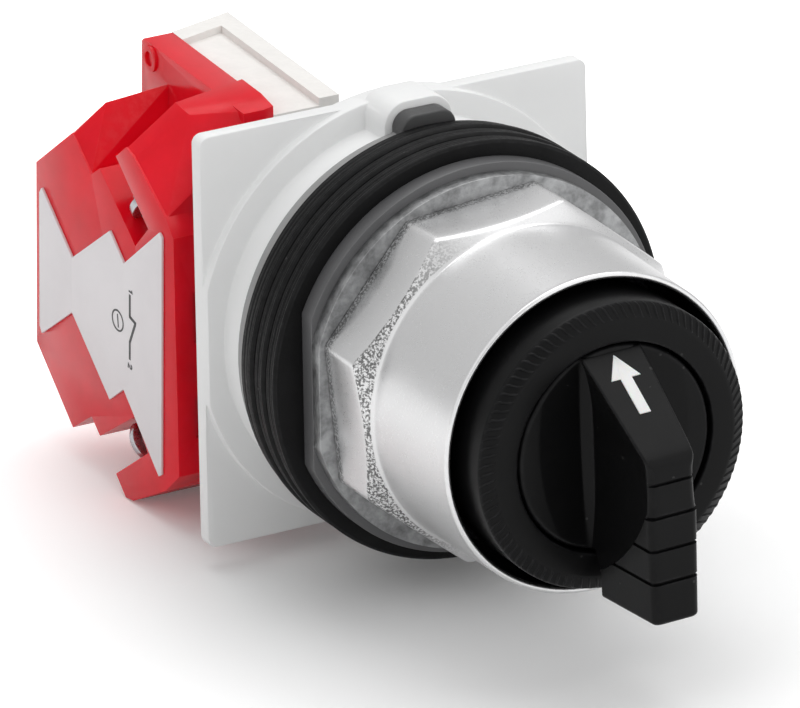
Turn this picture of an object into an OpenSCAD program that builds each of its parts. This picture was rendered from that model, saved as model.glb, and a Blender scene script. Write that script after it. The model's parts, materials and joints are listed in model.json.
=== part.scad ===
// Rotary selector switch for panel mounting, with one snap-in contact block.
// The switch axis is Y: the lever points to -Y, the contact block is at +Y, and Z is up.
// The origin is on the axis, in the front face of the translucent mounting plate.

/* [Mounting plate] */
// Side of the square mounting plate
plate_side = 44.5; // [40:0.5:60]
// Thickness of the mounting plate
plate_t = 1.75; // [1:0.05:4]
// Corner radius of the mounting plate
plate_corner_r = 1; // [0.5:0.1:4]
// Radius of the raised seat disc on the plate, wider than the plate at the top
seat_disc_r = 23.1; // [22:0.1:26]
// Height of the raised seat disc
seat_disc_h = 0.95; // [0.4:0.05:2]
// Half width of the part of the disc that stands above the plate
seat_tab_half_w = 7; // [4:0.5:10]
// Radius of the round boss that centres the gaskets
boss_r = 20.5; // [18:0.1:22]
// Height of the boss in front of the plate
boss_h = 5; // [2:0.1:8]

/* [Panel stack] */
// Radius of the grey locating ring
locating_r = 21.1; // [19:0.1:23]
// Thickness of the locating ring
locating_t = 2.2; // [1:0.1:3]
// Reach of the locating lug, from the axis
lug_reach = 23.1; // [22:0.1:25]
// Width of the locating lug
lug_w = 6.2; // [3:0.1:8]
// Rounding of the locating lug's corners
lug_corner_r = 1.7; // [0.5:0.1:2]
// Wall of the rounded collar that the plate has round the lug
lug_collar_t = 0.8; // [0.4:0.1:2]
// Outer radius of the wide gaskets
gasket_r = 22.3; // [20:0.1:24]
// Thickness of the rear gasket
rear_gasket_t = 1.8; // [1:0.1:3]
// Thickness of each thin gasket
thin_gasket_t = 1.2; // [0.8:0.1:2.5]
// How much smaller every second gasket is in radius
gasket_step = 0.35; // [0:0.05:1]
// Radius of the grey thrust washer
thrust_washer_r = 20.7; // [18:0.1:22]
// Thickness of the grey thrust washer
thrust_washer_t = 2; // [1:0.1:3]
// Distance from the axis to the flat on both washers
washer_flat = 19.05; // [17:0.05:20]
// Radius of the bright trim washer
trim_washer_r = 19.8; // [18:0.1:21]
// Thickness of the bright trim washer
trim_washer_t = 1.5; // [0.8:0.1:3]

/* [Ring nut] */
// Distance from the axis to the corners of the octagon
nut_corner_r = 19.3; // [18:0.1:21]
// Turn of the octagon about the axis, in degrees
nut_turn = 5.4; // [0:0.1:45]
// Height of the octagon's corners
nut_flat_h = 5.9; // [4:0.1:9]
// Radius of the skirt where it leaves the octagon
skirt_r = 17.1; // [16:0.1:18]
// Radius of the skirt at its mouth
skirt_mouth_r = 16.8; // [16:0.1:18]
// Wall of the skirt at its mouth
skirt_wall = 0.7; // [0.5:0.05:1.5]
// Length of the ring nut along the axis
nut_len = 21.5; // [16:0.1:28]
// Length of the threaded part of the nut
nut_thread_len = 8; // [5:0.1:12]

/* [Operator body] */
// Crest radius of the barrel's thread
barrel_r = 14.8; // [13:0.1:16]
// Radius of the barrel's bore
barrel_bore_r = 12.6; // [11:0.1:13]
// Distance of the barrel's front face from the plate
barrel_front = 36.5; // [30:0.1:40]
// Length of the bearing at the front of the barrel
bearing_len = 6.5; // [4:0.1:9]
// Half the side of the square base behind the plate
base_half = 17.3; // [16:0.1:19]
// Corner radius of the base
base_corner_r = 3; // [1:0.1:5]
// Thickness of the base
base_t = 6.45; // [5:0.05:9]
// Radius of the chamber that the cam turns in
chamber_r = 13.8; // [13:0.1:15]
// Thickness of the rear cover
cover_t = 2.8; // [2:0.1:5]
// Radius of the holes for the cover screws
cover_screw_r = 1.25; // [0.8:0.05:1.6]
// Radius of the holes for the contact block screws
block_screw_r = 1.5; // [1:0.05:2]
// Distance of the block screws from the middle plane, sideways
block_screw_x = 4.2; // [3:0.1:6]
// Distance of the block screws from the axis, up and down
block_screw_z = 15.2; // [14:0.1:16]

/* [Knob] */
// Radius of the knob's disc
knob_r = 10.7; // [9:0.1:12]
// Distance of the disc's front face from the front of the barrel
knob_out = 7.5; // [7:0.1:10]
// Turn of the lever off its middle stop at rest, in degrees
knob_turn = 1.8; // [0:0.1:5]
// Depth of the disc's rim
knob_rim_t = 5.6; // [4:0.1:8]
// How far the lever stands in front of the disc
lever_reach = 11.3; // [8:0.1:16]
// Height of the lever's front face above the axis
lever_top_z = 2.7; // [0:0.1:6]
// Depth of the lever's foot below the axis
lever_foot_z = 14.5; // [11:0.1:18]
// Width of the lever at the disc
lever_root_w = 6.8; // [5:0.1:9]
// Width of the lever at its front face
lever_tip_w = 5.2; // [4:0.1:8]
// Rounding of the lever's front edges
lever_edge_r = 0.8; // [0.2:0.1:1.5]
// Depth of the shallow hollows in the lever's sides
lever_hollow_d = 0.55; // [0.2:0.05:1]
// Rim left between a hollow and the lever's sloping face
lever_rim = 1.2; // [0.5:0.1:3]
// Number of grip grooves across the lever's front
groove_n = 4; // [2:1:6]
// Distance between two grip grooves
groove_pitch = 3.5; // [2.5:0.1:5]
// Width of a grip groove
groove_w = 0.4; // [0.2:0.05:0.8]
// Depth of a grip groove
groove_d = 0.35; // [0.15:0.05:0.6]
// Depth of the finger dishes in the disc and the lever
dish_d = 1.1; // [0.4:0.1:2]
// Length of the white arrow
arrow_len = 7.2; // [4:0.1:9]
// Width of the arrow's head
arrow_head_w = 3.3; // [2:0.1:5]
// Width of the arrow's shaft
arrow_shaft_w = 1.25; // [0.6:0.05:2]
// Thickness of the arrow insert
arrow_t = 0.35; // [0.2:0.05:0.8]

/* [Bezel ring] */
// Outer radius of the knurled bezel ring
bezel_r = 15.15; // [13:0.05:16]
// Radius of the bezel's flat front face
bezel_face_r = 13.9; // [12:0.1:15]
// How far the bezel stands in front of the disc
bezel_proud = 0.2; // [0:0.05:1]
// Height of the knurled bevel
bezel_bevel_h = 1.7; // [0.8:0.1:3]
// Number of knurl teeth
knurl_n = 84; // [40:4:120]
// Depth of the knurl teeth
knurl_d = 0.45; // [0.2:0.05:0.8]

/* [Spindle and detent] */
// Radius of the spindle's journal
journal_r = 6; // [4:0.1:7]
// Radius of the spindle's shaft
shaft_r = 3.5; // [2.5:0.1:5]
// Thickness of the spindle's flange
flange_t = 1.6; // [1:0.1:3]
// Radius of the spindle's flange
flange_r = 7.6; // [6.5:0.1:9]
// Length of the tenon that carries the knob
tenon_len = 4; // [2:0.1:5]
// Side of the square that drives the cam
drive_side = 4.6; // [3:0.1:5]
// Radius of a detent ball
ball_r = 1.5; // [1:0.1:2]
// Distance of the detent balls from the axis
ball_offset = 8; // [7:0.1:9]
// Length of the detent carrier
carrier_len = 9; // [6:0.1:12]

/* [Cam and pushers] */
// Turn of the lever to each side, in degrees
lever_throw = 45; // [30:1:60]
// Travel of a pusher for one radian of lever turn
cam_lead = 1.9; // [1:0.1:2.5]
// Radius of the cam
cam_r = 12.2; // [11:0.1:12.4]
// Inner radius of the cam's ramps
ramp_inner_r = 9.1; // [8:0.1:10]
// Thickness of the cam's disc
cam_disc_t = 3.2; // [2:0.1:4]
// Distance of a pusher from the middle plane
pusher_x = 9.6; // [8:0.1:10]
// Depth of the pushers below the axis
pusher_z = 4.2; // [0:0.1:5]
// Radius of a pusher's stem
pusher_r = 1.9; // [1.4:0.05:2.2]
// Radius of a pusher's round nose
nose_r = 1.3; // [0.8:0.1:1.6]

/* [Contact block] */
// Distance of the block's left face from the middle plane
block_left_x = 20.7; // [18:0.1:24]
// Width of the red terminal part
terminal_w = 9.6; // [8:0.1:12]
// Width of the red tower wall
tower_w = 3.1; // [2:0.1:4]
// Distance of the block's right face from the middle plane
block_right_x = 0.4; // [0.2:0.1:2]
// Depth of the red part behind the cover
red_depth = 29.4; // [27:0.1:33]
// Depth of the tower wall behind the cover
tower_depth = 23.6; // [21:0.1:25]
// How far the clear part's right side stands behind its left side
clear_skew = 2; // [0:0.1:3]
// Height of the tower and the clear part above the block's middle
block_up = 24.7; // [23:0.1:26]
// Depth of the tower and the clear part below the block's middle
block_down = 14.5; // [13:0.1:16]
// Height of the block's middle
block_mid_z = -5.5; // [-8:0.1:0]
// Lean of the block, in degrees
block_lean = 3.1; // [0:0.1:5]
// Width of the raised rim on the clear part's top
clear_rim_w = 2.3; // [1:0.1:3]
// Height of the raised rim on the clear part's top
clear_rim_h = 0.8; // [0.3:0.1:1.5]
// Wall of the block's shells
block_wall = 1.1; // [0.8:0.1:2]
// How much the roof ridge rises from the left face to the tower
ridge_rise = 4.9; // [2:0.1:5]
// How much the upper finger rises from the left face to the tower
finger_rise = 5.5; // [2:0.1:6]
// Width of the bevel at the left end of the roof ridge
ridge_bevel_w = 2.8; // [2:0.1:5]
// Width of the bevel at the left end of the finger
finger_bevel_w = 5; // [3:0.1:7]
// Distance of the terminals from the left face
terminal_inset = 3; // [2.4:0.1:4.8]
// Half the length of a wire clamp
clamp_half = 2.6; // [2:0.1:3]
// Half the width of a wire clamp
clamp_w = 1.8; // [1.5:0.05:2]
// Depth of the moulding recesses in the block's front
recess_d = 0.7; // [0.3:0.1:1.2]
// Thickness of the label plate
label_t = 0.3; // [0.2:0.05:0.6]
// Radius of a terminal screw's head
terminal_head_r = 1.75; // [1.4:0.05:2]

/* [Contact parts] */
// Radius of the plunger's stem
plunger_r = 2.2; // [1.6:0.1:3]
// Half the height of the moving contact bridge
bridge_half = 7.2; // [6:0.1:8]
// Thickness of the contact strips
strip_t = 0.8; // [0.5:0.1:1.2]
// Radius of the contact tips
tip_r = 1.3; // [0.8:0.1:1.6]
// Thickness of the contact tips
tip_t = 0.8; // [0.5:0.1:1.2]
// Outer radius of the return spring
spring_r = 2.4; // [1.8:0.1:3]

/* [Hidden] */
$fn = 72;

// clearances
run_gap = 0.05;
free_gap = 0.3;
slip_gap = 0.3;

// stations along the axis, front faces counted from the plate
knob_front = barrel_front + knob_out;
locating_front = boss_h + locating_t;
gasket_front = locating_front + rear_gasket_t + 5 * thin_gasket_t;
thrust_front = gasket_front + thrust_washer_t;
trim_front = thrust_front + trim_washer_t;
nut_front = trim_front + nut_len;
knob_rear = knob_front - knob_rim_t;
stack_bore_r = barrel_r + slip_gap;
base_rear = plate_t + base_t;
cover_rear = base_rear + cover_t;
bearing_rear = barrel_front - bearing_len;
flange_rear = knob_rear - flange_t;
seal_r = journal_r + 2.5;
seal_depth = 1.5;
clip_front = bearing_rear - 0.4;
clip_t = 0.8;
clip_r = journal_r + 2;

// cam
cam_front = 2.6;
cam_face = cam_disc_t - cam_front;
ramp_mid_h = 1.8;
ramp_mid_y = cam_face + ramp_mid_h;
ramp_half_angle = lever_throw + 10;
pusher_radius = norm([pusher_x, pusher_z]);
pusher_angle = atan2(pusher_z, pusher_x);
throw_rad = lever_throw * PI / 180;
stroke = cam_lead * throw_rad;
nose_slope = atan(cam_lead / pusher_radius);
nose_y = ramp_mid_y + free_gap + nose_r / cos(nose_slope);
nose_len = 2 * (cam_r - pusher_radius) - 2 * free_gap;
collar_y = nose_y + nose_r + 0.25;
collar_t = 0.8;
pusher_end_y = cover_rear + stroke + 0.1;

// contact block
red_inner_x = block_left_x - terminal_w;
tower_inner_x = red_inner_x - tower_w;
plunger_y = pusher_end_y + free_gap;
block_angle = atan(clear_skew / (tower_inner_x - block_right_x));
screw_seat_y = cover_rear + tower_depth - 2.8;
front_wall = 1.4;
front_lip = 1.8;
cavity_front = cover_rear + front_wall;
cavity_rear = cover_rear + tower_depth - 1.3;
bridge_room = 0.7;
cavity_low = -pusher_z - bridge_half - 2.4;
cavity_high = -pusher_z + bridge_half + bridge_room;
stem_len = 4.2;
guide_len = 3;
tip_inset = 1.5;
bridge_y = plunger_y + stem_len;
bridge_w = 4;
tip_offset = bridge_half - tip_inset;
fixed_tip_y = bridge_y + strip_t + tip_t + stroke + free_gap;
strip_y = fixed_tip_y + tip_t;
shoulder_y = bridge_y + strip_t;
shoulder_t = 1.6;
spring_front = shoulder_y + shoulder_t + stroke + free_gap;
guide_r = plunger_r - 1;

// extrudes an (x, z) outline between two stations on the axis
module slab(front, rear) {
    translate([0, rear, 0])
        rotate([90, 0, 0])
            linear_extrude(rear - front)
                children();
}

// turns an (r, y) outline about the axis
module turned() {
    rotate([-90, 0, 0])
        rotate_extrude()
            children();
}

// extrudes a (y, z) outline from x0 to x1
module along_x(x0, x1) {
    translate([x0, 0, 0])
        rotate([90, 0, 90])
            linear_extrude(x1 - x0)
                children();
}

// straight rod along the axis
module rod(r, front, rear) {
    translate([0, front, 0])
        rotate([-90, 0, 0])
            cylinder(h = rear - front, r = r);
}

module rounded_square(half, r) {
    union() {
        square([2 * half, 2 * (half - r)], center = true);
        square([2 * (half - r), 2 * half], center = true);
        for (sx = [-1, 1], sz = [-1, 1])
            translate([sx * (half - r), sz * (half - r)])
                circle(r);
    }
}

// upright tongue from the axis up to reach, with rounded upper corners
module arch(half, reach, r) {
    translate([-half, stack_bore_r + 1])
        square([2 * half, reach - r - stack_bore_r - 1]);
    translate([-half + r, stack_bore_r + 1])
        square([2 * (half - r), reach - stack_bore_r - 1]);
    for (s = [-1, 1])
        translate([s * (half - r), reach - r])
            circle(r);
}

// wire bent into a coil along the axis, from front to rear
function coil_ring(c, a, mean_r, wire_r, sides) = [
    for (k = [0 : sides - 1])
        let (b = 360 * k / sides, rr = mean_r + wire_r * cos(b))
            [rr * cos(a), c + wire_r * sin(b), rr * sin(a)]
];

module coil(front, rear, outer_r, wire_r, turns, steps = 18, sides = 8) {
    mean_r = outer_r - wire_r;
    span = rear - front - 2 * wire_r;
    n = turns * steps;
    rings = [
        for (i = [0 : n])
            let (t = i / n)
                coil_ring(front + wire_r + span * t, 360 * turns * t, mean_r, wire_r, sides)
    ];
    points = [for (ring = rings) each ring];
    walls = [
        for (i = [0 : n - 1], k = [0 : sides - 1])
            let (a = i * sides + k, b = i * sides + (k + 1) % sides)
                each [[a, a + sides, b], [b, a + sides, b + sides]]
    ];
    first = [for (k = [0 : sides - 1]) k];
    last = [for (k = [sides - 1 : -1 : 0]) n * sides + k];
    polyhedron(points, concat(walls, [first, last]), convexity = 8);
}

module mounting_plate() {
    half = plate_side / 2;
    color([0.85, 0.86, 0.86, 0.8])
    difference() {
        union() {
            slab(0, plate_t)
                plate_outline(half);
            slab(-seat_disc_h, 0)
                intersection() {
                    circle(seat_disc_r);
                    plate_outline(half);
                }
            rod(boss_r, -boss_h, 0);
            slab(-boss_h, 0)
                arch(lug_w / 2 + lug_collar_t, lug_reach + lug_collar_t, lug_corner_r + lug_collar_t);
        }
        rod(stack_bore_r, -boss_h - 1, plate_t + 1);
    }
}

module plate_outline(half) {
    rounded_square(half, plate_corner_r);
    intersection() {
        circle(seat_disc_r);
        translate([-seat_tab_half_w, 0])
            square([2 * seat_tab_half_w, half + 4]);
    }
}

module locating_ring() {
    color([0.55, 0.56, 0.57])
    difference() {
        union() {
            rod(locating_r, -locating_front, -boss_h);
            slab(-locating_front, -boss_h)
                arch(lug_w / 2, lug_reach, lug_corner_r);
        }
        rod(stack_bore_r, -locating_front - 1, -boss_h + 1);
    }
}

// gasket with rounded outer edges between two stations
module gasket(front, rear, r) {
    edge = min(0.3, (rear - front) / 4);
    color([0.1, 0.1, 0.11])
    turned()
        union() {
            translate([stack_bore_r, front])
                square([r - edge - stack_bore_r, rear - front]);
            translate([stack_bore_r, front + edge])
                square([r - stack_bore_r, rear - front - 2 * edge]);
            for (y = [front + edge, rear - edge])
                translate([r - edge, y])
                    circle(edge, $fn = 24);
        }
}

module thin_gasket(index) {
    rear = -locating_front - rear_gasket_t - (index - 2) * thin_gasket_t;
    gasket(rear - thin_gasket_t, rear, gasket_r - (index % 2) * gasket_step);
}

module gasket_1() {
    gasket(-locating_front - rear_gasket_t, -locating_front, gasket_r - gasket_step);
}

module gasket_2() {
    thin_gasket(2);
}

module gasket_3() {
    thin_gasket(3);
}

module gasket_4() {
    thin_gasket(4);
}

module gasket_5() {
    thin_gasket(5);
}

module gasket_6() {
    thin_gasket(6);
}

module flat_washer(front, rear, r) {
    difference() {
        slab(front, rear)
            intersection() {
                circle(r);
                translate([-washer_flat, -r - 1])
                    square([washer_flat + r + 1, 2 * r + 2]);
            }
        rod(stack_bore_r, front - 1, rear + 1);
    }
}

module thrust_washer() {
    color([0.38, 0.38, 0.39])
    flat_washer(-thrust_front, -gasket_front, thrust_washer_r);
}

module trim_washer() {
    color([0.66, 0.66, 0.67])
    flat_washer(-trim_front, -thrust_front, trim_washer_r);
}

// octagon with a coned shoulder and a long skirt, threaded at the rear only
module ring_nut() {
    shoulder = trim_front + nut_flat_h;
    cone_h = (nut_corner_r - skirt_r) * 0.8;
    mouth_in = skirt_mouth_r - skirt_wall;
    lip_r = skirt_wall / 2;
    color([0.86, 0.87, 0.88])
    difference() {
        union() {
            intersection() {
                slab(-shoulder - cone_h, -trim_front)
                    rotate(nut_turn + 22.5)
                        circle(nut_corner_r, $fn = 8);
                turned()
                    polygon([
                        [0, -trim_front],
                        [nut_corner_r + 0.01, -trim_front],
                        [nut_corner_r + 0.01, -shoulder],
                        [skirt_r, -shoulder - cone_h],
                        [0, -shoulder - cone_h]
                    ]);
            }
            turned()
                polygon([
                    [0, -shoulder],
                    [skirt_r, -shoulder],
                    [skirt_r, -shoulder - cone_h],
                    [skirt_mouth_r, -nut_front + lip_r],
                    [0, -nut_front + lip_r]
                ]);
            turned()
                translate([skirt_mouth_r - lip_r, -nut_front + lip_r])
                    circle(lip_r, $fn = 32);
        }
        rod(stack_bore_r - 0.1, -nut_front - 1, -trim_front + 1);
        rod(mouth_in, -nut_front - 1, -trim_front - nut_thread_len);
    }
}

// points of the four cover screws
cover_screw_c = base_half - 2.6;

module block_screw_holes(front, rear) {
    for (sx = [-1, 1], sz = [-1, 1])
        translate([sx * block_screw_x, 0, sz * block_screw_z])
            rod(block_screw_r, front, rear);
}

// die cast barrel and square base in one piece
module operator_body() {
    color([0.62, 0.63, 0.65])
    difference() {
        union() {
            rod(barrel_r, -barrel_front, plate_t);
            slab(plate_t, base_rear)
                rounded_square(base_half, base_corner_r);
        }
        rod(journal_r + run_gap, -barrel_front - 1, 0);
        rod(seal_r, -barrel_front - 1, -barrel_front + seal_depth);
        rod(barrel_bore_r, -bearing_rear, plate_t + 1);
        rod(chamber_r, plate_t, base_rear + 1);
        for (sx = [-1, 1], sz = [-1, 1])
            translate([sx * cover_screw_c, 0, sz * cover_screw_c])
                rod(cover_screw_r, plate_t + 1.5, base_rear + 1);
        block_screw_holes(plate_t + 1.5, base_rear + 1);
    }
}

module rear_cover() {
    color([0.58, 0.59, 0.61])
    difference() {
        slab(base_rear, cover_rear)
            rounded_square(base_half, base_corner_r);
        for (sx = [-1, 1]) {
            translate([sx * pusher_x, 0, -pusher_z])
                rod(pusher_r + run_gap, base_rear - 1, cover_rear + 1);
            for (sz = [-1, 1])
                translate([sx * cover_screw_c, 0, sz * cover_screw_c]) {
                    rod(cover_screw_r, base_rear - 1, cover_rear + 1);
                    rod(cover_screw_r * 1.6 + free_gap, cover_rear - 1.4, cover_rear + 1);
                }
        }
        block_screw_holes(base_rear - 1, cover_rear + 1);
    }
}

// countersunk cover screw with a cross slot
module cover_screw(sx, sz) {
    head_y = cover_rear - 1.4;
    color([0.75, 0.76, 0.78])
    translate([sx * cover_screw_c, 0, sz * cover_screw_c])
        difference() {
            union() {
                rod(cover_screw_r - run_gap, plate_t + 2.2, head_y + 0.1);
                rod(cover_screw_r * 1.6, head_y, cover_rear - 0.2);
            }
            translate([-0.25, cover_rear - 0.8, -1.2])
                cube([0.5, 1, 2.4]);
            translate([-1.2, cover_rear - 0.8, -0.25])
                cube([2.4, 1, 0.5]);
        }
}

module cover_screw_1() {
    cover_screw(-1, -1);
}

module cover_screw_2() {
    cover_screw(1, -1);
}

module cover_screw_3() {
    cover_screw(-1, 1);
}

module cover_screw_4() {
    cover_screw(1, 1);
}

// outline of the bezel's knurl, with two points for each tooth
function knurl_points(n, r, d) = [
    for (i = [0 : n - 1])
        each [
            [r * cos(360 * i / n), r * sin(360 * i / n)],
            [(r - d) * cos(360 * (i + 0.5) / n), (r - d) * sin(360 * (i + 0.5) / n)]
        ]
];

module bezel_ring() {
    front = knob_front + bezel_proud;
    knurl_rear = front - bezel_bevel_h - 1.9;
    inner = knob_r + free_gap;
    color([0.07, 0.07, 0.08])
    difference() {
        union() {
            intersection() {
                slab(-front, -knurl_rear)
                    polygon(knurl_points(knurl_n, bezel_r, knurl_d));
                turned()
                    polygon([
                        [0, -front],
                        [bezel_face_r, -front],
                        [bezel_r + 0.01, -front + bezel_bevel_h],
                        [bezel_r + 0.01, -knurl_rear],
                        [0, -knurl_rear]
                    ]);
            }
            rod(bezel_r - knurl_d - 0.1, -knurl_rear - 0.1, -barrel_front);
        }
        rod(inner, -front - 1, -barrel_front + 1);
    }
}

module shaft_seal() {
    color([0.12, 0.12, 0.12])
    difference() {
        rod(seal_r - run_gap, -barrel_front, -barrel_front + seal_depth);
        rod(journal_r + free_gap, -barrel_front - 1, -barrel_front + seal_depth + 1);
    }
}

// side outline of the lever, in (y, z)
lever_front = knob_front + lever_reach;
lever_slope_z = knob_r - 0.5;
lever_heel = knob_front + 2.3;
lever_heel_z = lever_foot_z - 2.7;
slope_dir = [-lever_reach, lever_top_z - lever_slope_z];
slope_angle = atan2(lever_slope_z - lever_top_z, lever_reach);

module lever_outline() {
    polygon([
        [-knob_front + 1, lever_slope_z],
        [-knob_front, lever_slope_z],
        [-lever_front + 0.5, lever_top_z + 0.2],
        [-lever_front, lever_top_z - 0.5],
        [-lever_front, -lever_foot_z],
        [-lever_heel, -lever_foot_z],
        [-lever_heel, -lever_heel_z],
        [-knob_front - 0.5, -knob_r + 0.6],
        [-knob_front + 1, -knob_r + 0.6]
    ]);
}

// plan outline of the lever, in (x, y), with rounded front edges
module lever_plan() {
    r = lever_edge_r;
    half = lever_tip_w / 2;
    polygon([
        [-lever_root_w / 2, -knob_front + 1],
        [lever_root_w / 2, -knob_front + 1],
        [half, -lever_front + r],
        [half - r, -lever_front],
        [-half + r, -lever_front],
        [-half, -lever_front + r]
    ]);
    for (s = [-1, 1])
        translate([s * (half - r), -lever_front + r])
            circle(r, $fn = 32);
}

module arrow_outline() {
    head = arrow_len * 0.4;
    polygon([
        [0, 0],
        [arrow_head_w / 2, -head],
        [arrow_shaft_w / 2, -head],
        [arrow_shaft_w / 2, -arrow_len],
        [-arrow_shaft_w / 2, -arrow_len],
        [-arrow_shaft_w / 2, -head],
        [-arrow_head_w / 2, -head]
    ]);
}

// puts a child, drawn flat with its tip up, on the lever's sloping face
module on_slope(depth) {
    translate([0, -knob_front, lever_slope_z])
        rotate([slope_angle, 0, 0])
            translate([0, 0, -depth])
                translate([0, -0.4, 0])
                    children();
}

// turns a child with the lever, which stands a little off its middle stop
module at_rest() {
    rotate([0, -knob_turn, 0])
        children();
}

module knob() {
    blade_half = lever_root_w / 2 - 0.55;
    hub_r = journal_r + 0.8;
    color([0.05, 0.05, 0.06])
    at_rest()
    difference() {
        union() {
            rod(knob_r, -knob_front, -knob_rear);
            intersection() {
                along_x(-lever_root_w, lever_root_w)
                    lever_outline();
                translate([0, 0, -lever_foot_z - 1])
                    linear_extrude(lever_foot_z + knob_r + 2)
                        lever_plan();
            }
        }
        // finger dishes beside the lever
        for (s = [-1, 1])
            difference() {
                rod(knob_r - 1.1, -knob_front - 1, -knob_front + dish_d);
                translate([s > 0 ? -knob_r : -blade_half, -knob_front - 2, -knob_r])
                    cube([knob_r + blade_half, dish_d + 4, 2 * knob_r]);
            }
        // shallow hollows in the lever's sides
        for (s = [-1, 1])
            intersection() {
                translate([s * (lever_root_w / 2 + 0.75 - lever_hollow_d), -knob_front + 7.6, lever_slope_z - 3.8])
                    rotate([0, 90, 0])
                        cylinder(h = 1.5, r = 20.4, center = true);
                rod(2 * knob_r, -lever_front - 1, -knob_front - 0.6);
                along_x(-lever_root_w, lever_root_w)
                    translate([0, -lever_rim])
                        lever_outline();
            }
        // grip grooves
        for (i = [0 : groove_n - 1])
            translate([-lever_root_w, -lever_front - 1, lever_top_z - 2.4 - i * groove_pitch])
                cube([2 * lever_root_w, 1 + groove_d, groove_w]);
        // hollow underside around the hub
        difference() {
            rod(knob_r - 1.1, -knob_rear - 3, -knob_rear + 1);
            rod(hub_r, -knob_rear - 4, -knob_rear + 2);
        }
        // bore for the spindle's tenon
        difference() {
            rod(shaft_r + run_gap, -knob_rear - tenon_len - 0.2, -knob_rear + 1);
            translate([-shaft_r - 1, -knob_rear - tenon_len - 1, shaft_r * 0.6])
                cube([2 * shaft_r + 2, tenon_len + 3, shaft_r]);
        }
        on_slope(arrow_t - 0.1)
            linear_extrude(2)
                arrow_outline();
    }
}

module arrow_insert() {
    color([0.92, 0.92, 0.9])
    at_rest()
    on_slope(arrow_t - 0.1)
        linear_extrude(arrow_t)
            arrow_outline();
}

// stepped steel shaft: tenon, flange, journal, shaft and square drive
module spindle() {
    color([0.7, 0.71, 0.73])
    difference() {
        union() {
            difference() {
                rod(shaft_r, -knob_rear - tenon_len, -knob_rear);
                at_rest()
                    translate([-shaft_r - 1, -knob_rear - tenon_len - 1, shaft_r * 0.6 - run_gap])
                        cube([2 * shaft_r + 2, tenon_len + 1, shaft_r]);
            }
            rod(flange_r, -knob_rear, -flange_rear);
            rod(journal_r, -flange_rear, -clip_front + clip_t + 0.6);
            rod(shaft_r, -clip_front + clip_t, -cam_front);
            translate([-drive_side / 2, -cam_front, -drive_side / 2])
                cube([drive_side, cam_disc_t - 0.3, drive_side]);
        }
        difference() {
            rod(journal_r + 1, -clip_front, -clip_front + clip_t);
            rod(journal_r - 1, -clip_front - 1, -clip_front + clip_t + 1);
        }
        rod(1.25, -cam_front - 4, cam_face + 1);
    }
}

module retaining_clip() {
    color([0.5, 0.51, 0.53])
    difference() {
        rod(clip_r, -clip_front, -clip_front + clip_t);
        rod(journal_r - 1 + run_gap, -clip_front - 1, -clip_front + clip_t + 1);
        translate([-journal_r + 2, -clip_front - 1, -clip_r - 1])
            cube([2 * journal_r - 4, clip_t + 2, clip_r]);
    }
}

// helical ramp on the cam's rear face, centred on one pusher
module ramp(centre, hand) {
    steps = 40;
    outer = cam_r - 0.1;
    span = 2 * ramp_half_angle;
    angles = [for (i = [0 : steps]) centre - ramp_half_angle + span * i / steps];
    heights = [for (a = angles) ramp_mid_y + hand * cam_lead * (a - centre) * PI / 180];
    points = [
        for (i = [0 : steps])
            each [
                [ramp_inner_r * cos(angles[i]), cam_face - 0.4, ramp_inner_r * sin(angles[i])],
                [outer * cos(angles[i]), cam_face - 0.4, outer * sin(angles[i])],
                [outer * cos(angles[i]), heights[i], outer * sin(angles[i])],
                [ramp_inner_r * cos(angles[i]), heights[i], ramp_inner_r * sin(angles[i])]
            ]
    ];
    sides = [
        for (i = [0 : steps - 1], k = [0 : 3])
            let (a = 4 * i + k, b = 4 * i + (k + 1) % 4)
                each [[a, b + 4, b], [a, a + 4, b + 4]]
    ];
    start = [[0, 1, 2], [0, 2, 3]];
    n = 4 * steps;
    end = [[n, n + 2, n + 1], [n, n + 3, n + 2]];
    polyhedron(points, concat(sides, start, end), convexity = 6);
}

module cam() {
    color([0.85, 0.8, 0.62])
    difference() {
        union() {
            rod(cam_r, -cam_front, cam_face);
            ramp(180 + pusher_angle, -1);
            ramp(-pusher_angle, 1);
        }
        translate([-drive_side / 2 - run_gap, -cam_front - 1, -drive_side / 2 - run_gap])
            cube([drive_side + 2 * run_gap, cam_disc_t + 2, drive_side + 2 * run_gap]);
        for (a = [90 - lever_throw, 90, 90 + lever_throw], s = [0, 180])
            translate([ball_offset * cos(a + s), -cam_front - 0.9, ball_offset * sin(a + s)])
                sphere(ball_r);
    }
}

module cam_screw() {
    color([0.75, 0.76, 0.78])
    difference() {
        union() {
            rod(1.2, -cam_front - 3.5, cam_face + 0.1);
            rod(4, cam_face, cam_face + 1.4);
        }
        translate([-2.6, cam_face + 0.8, -0.4])
            cube([5.2, 1, 0.8]);
    }
}

carrier_rear = -cam_front - 2.4;
pocket_front = carrier_rear - carrier_len + 1;
ball_y = -cam_front - free_gap - ball_r;

module detent_carrier() {
    color([0.72, 0.6, 0.35])
    difference() {
        rod(barrel_bore_r - run_gap, carrier_rear - carrier_len, carrier_rear);
        rod(shaft_r + 0.7, carrier_rear - carrier_len - 1, carrier_rear + 1);
        for (s = [-1, 1])
            translate([0, 0, s * ball_offset])
                rod(ball_r + 0.15, pocket_front, carrier_rear + 1);
    }
}

module detent_ball(s) {
    color([0.8, 0.8, 0.82])
    translate([0, ball_y, s * ball_offset])
        sphere(ball_r);
}

module detent_ball_1() {
    detent_ball(1);
}

module detent_ball_2() {
    detent_ball(-1);
}

module detent_spring(s) {
    color([0.6, 0.6, 0.62])
    translate([0, 0, s * ball_offset])
        coil(pocket_front, ball_y - ball_r, ball_r - 0.1, 0.2, 7, 14, 6);
}

module detent_spring_1() {
    detent_spring(1);
}

module detent_spring_2() {
    detent_spring(-1);
}

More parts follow.
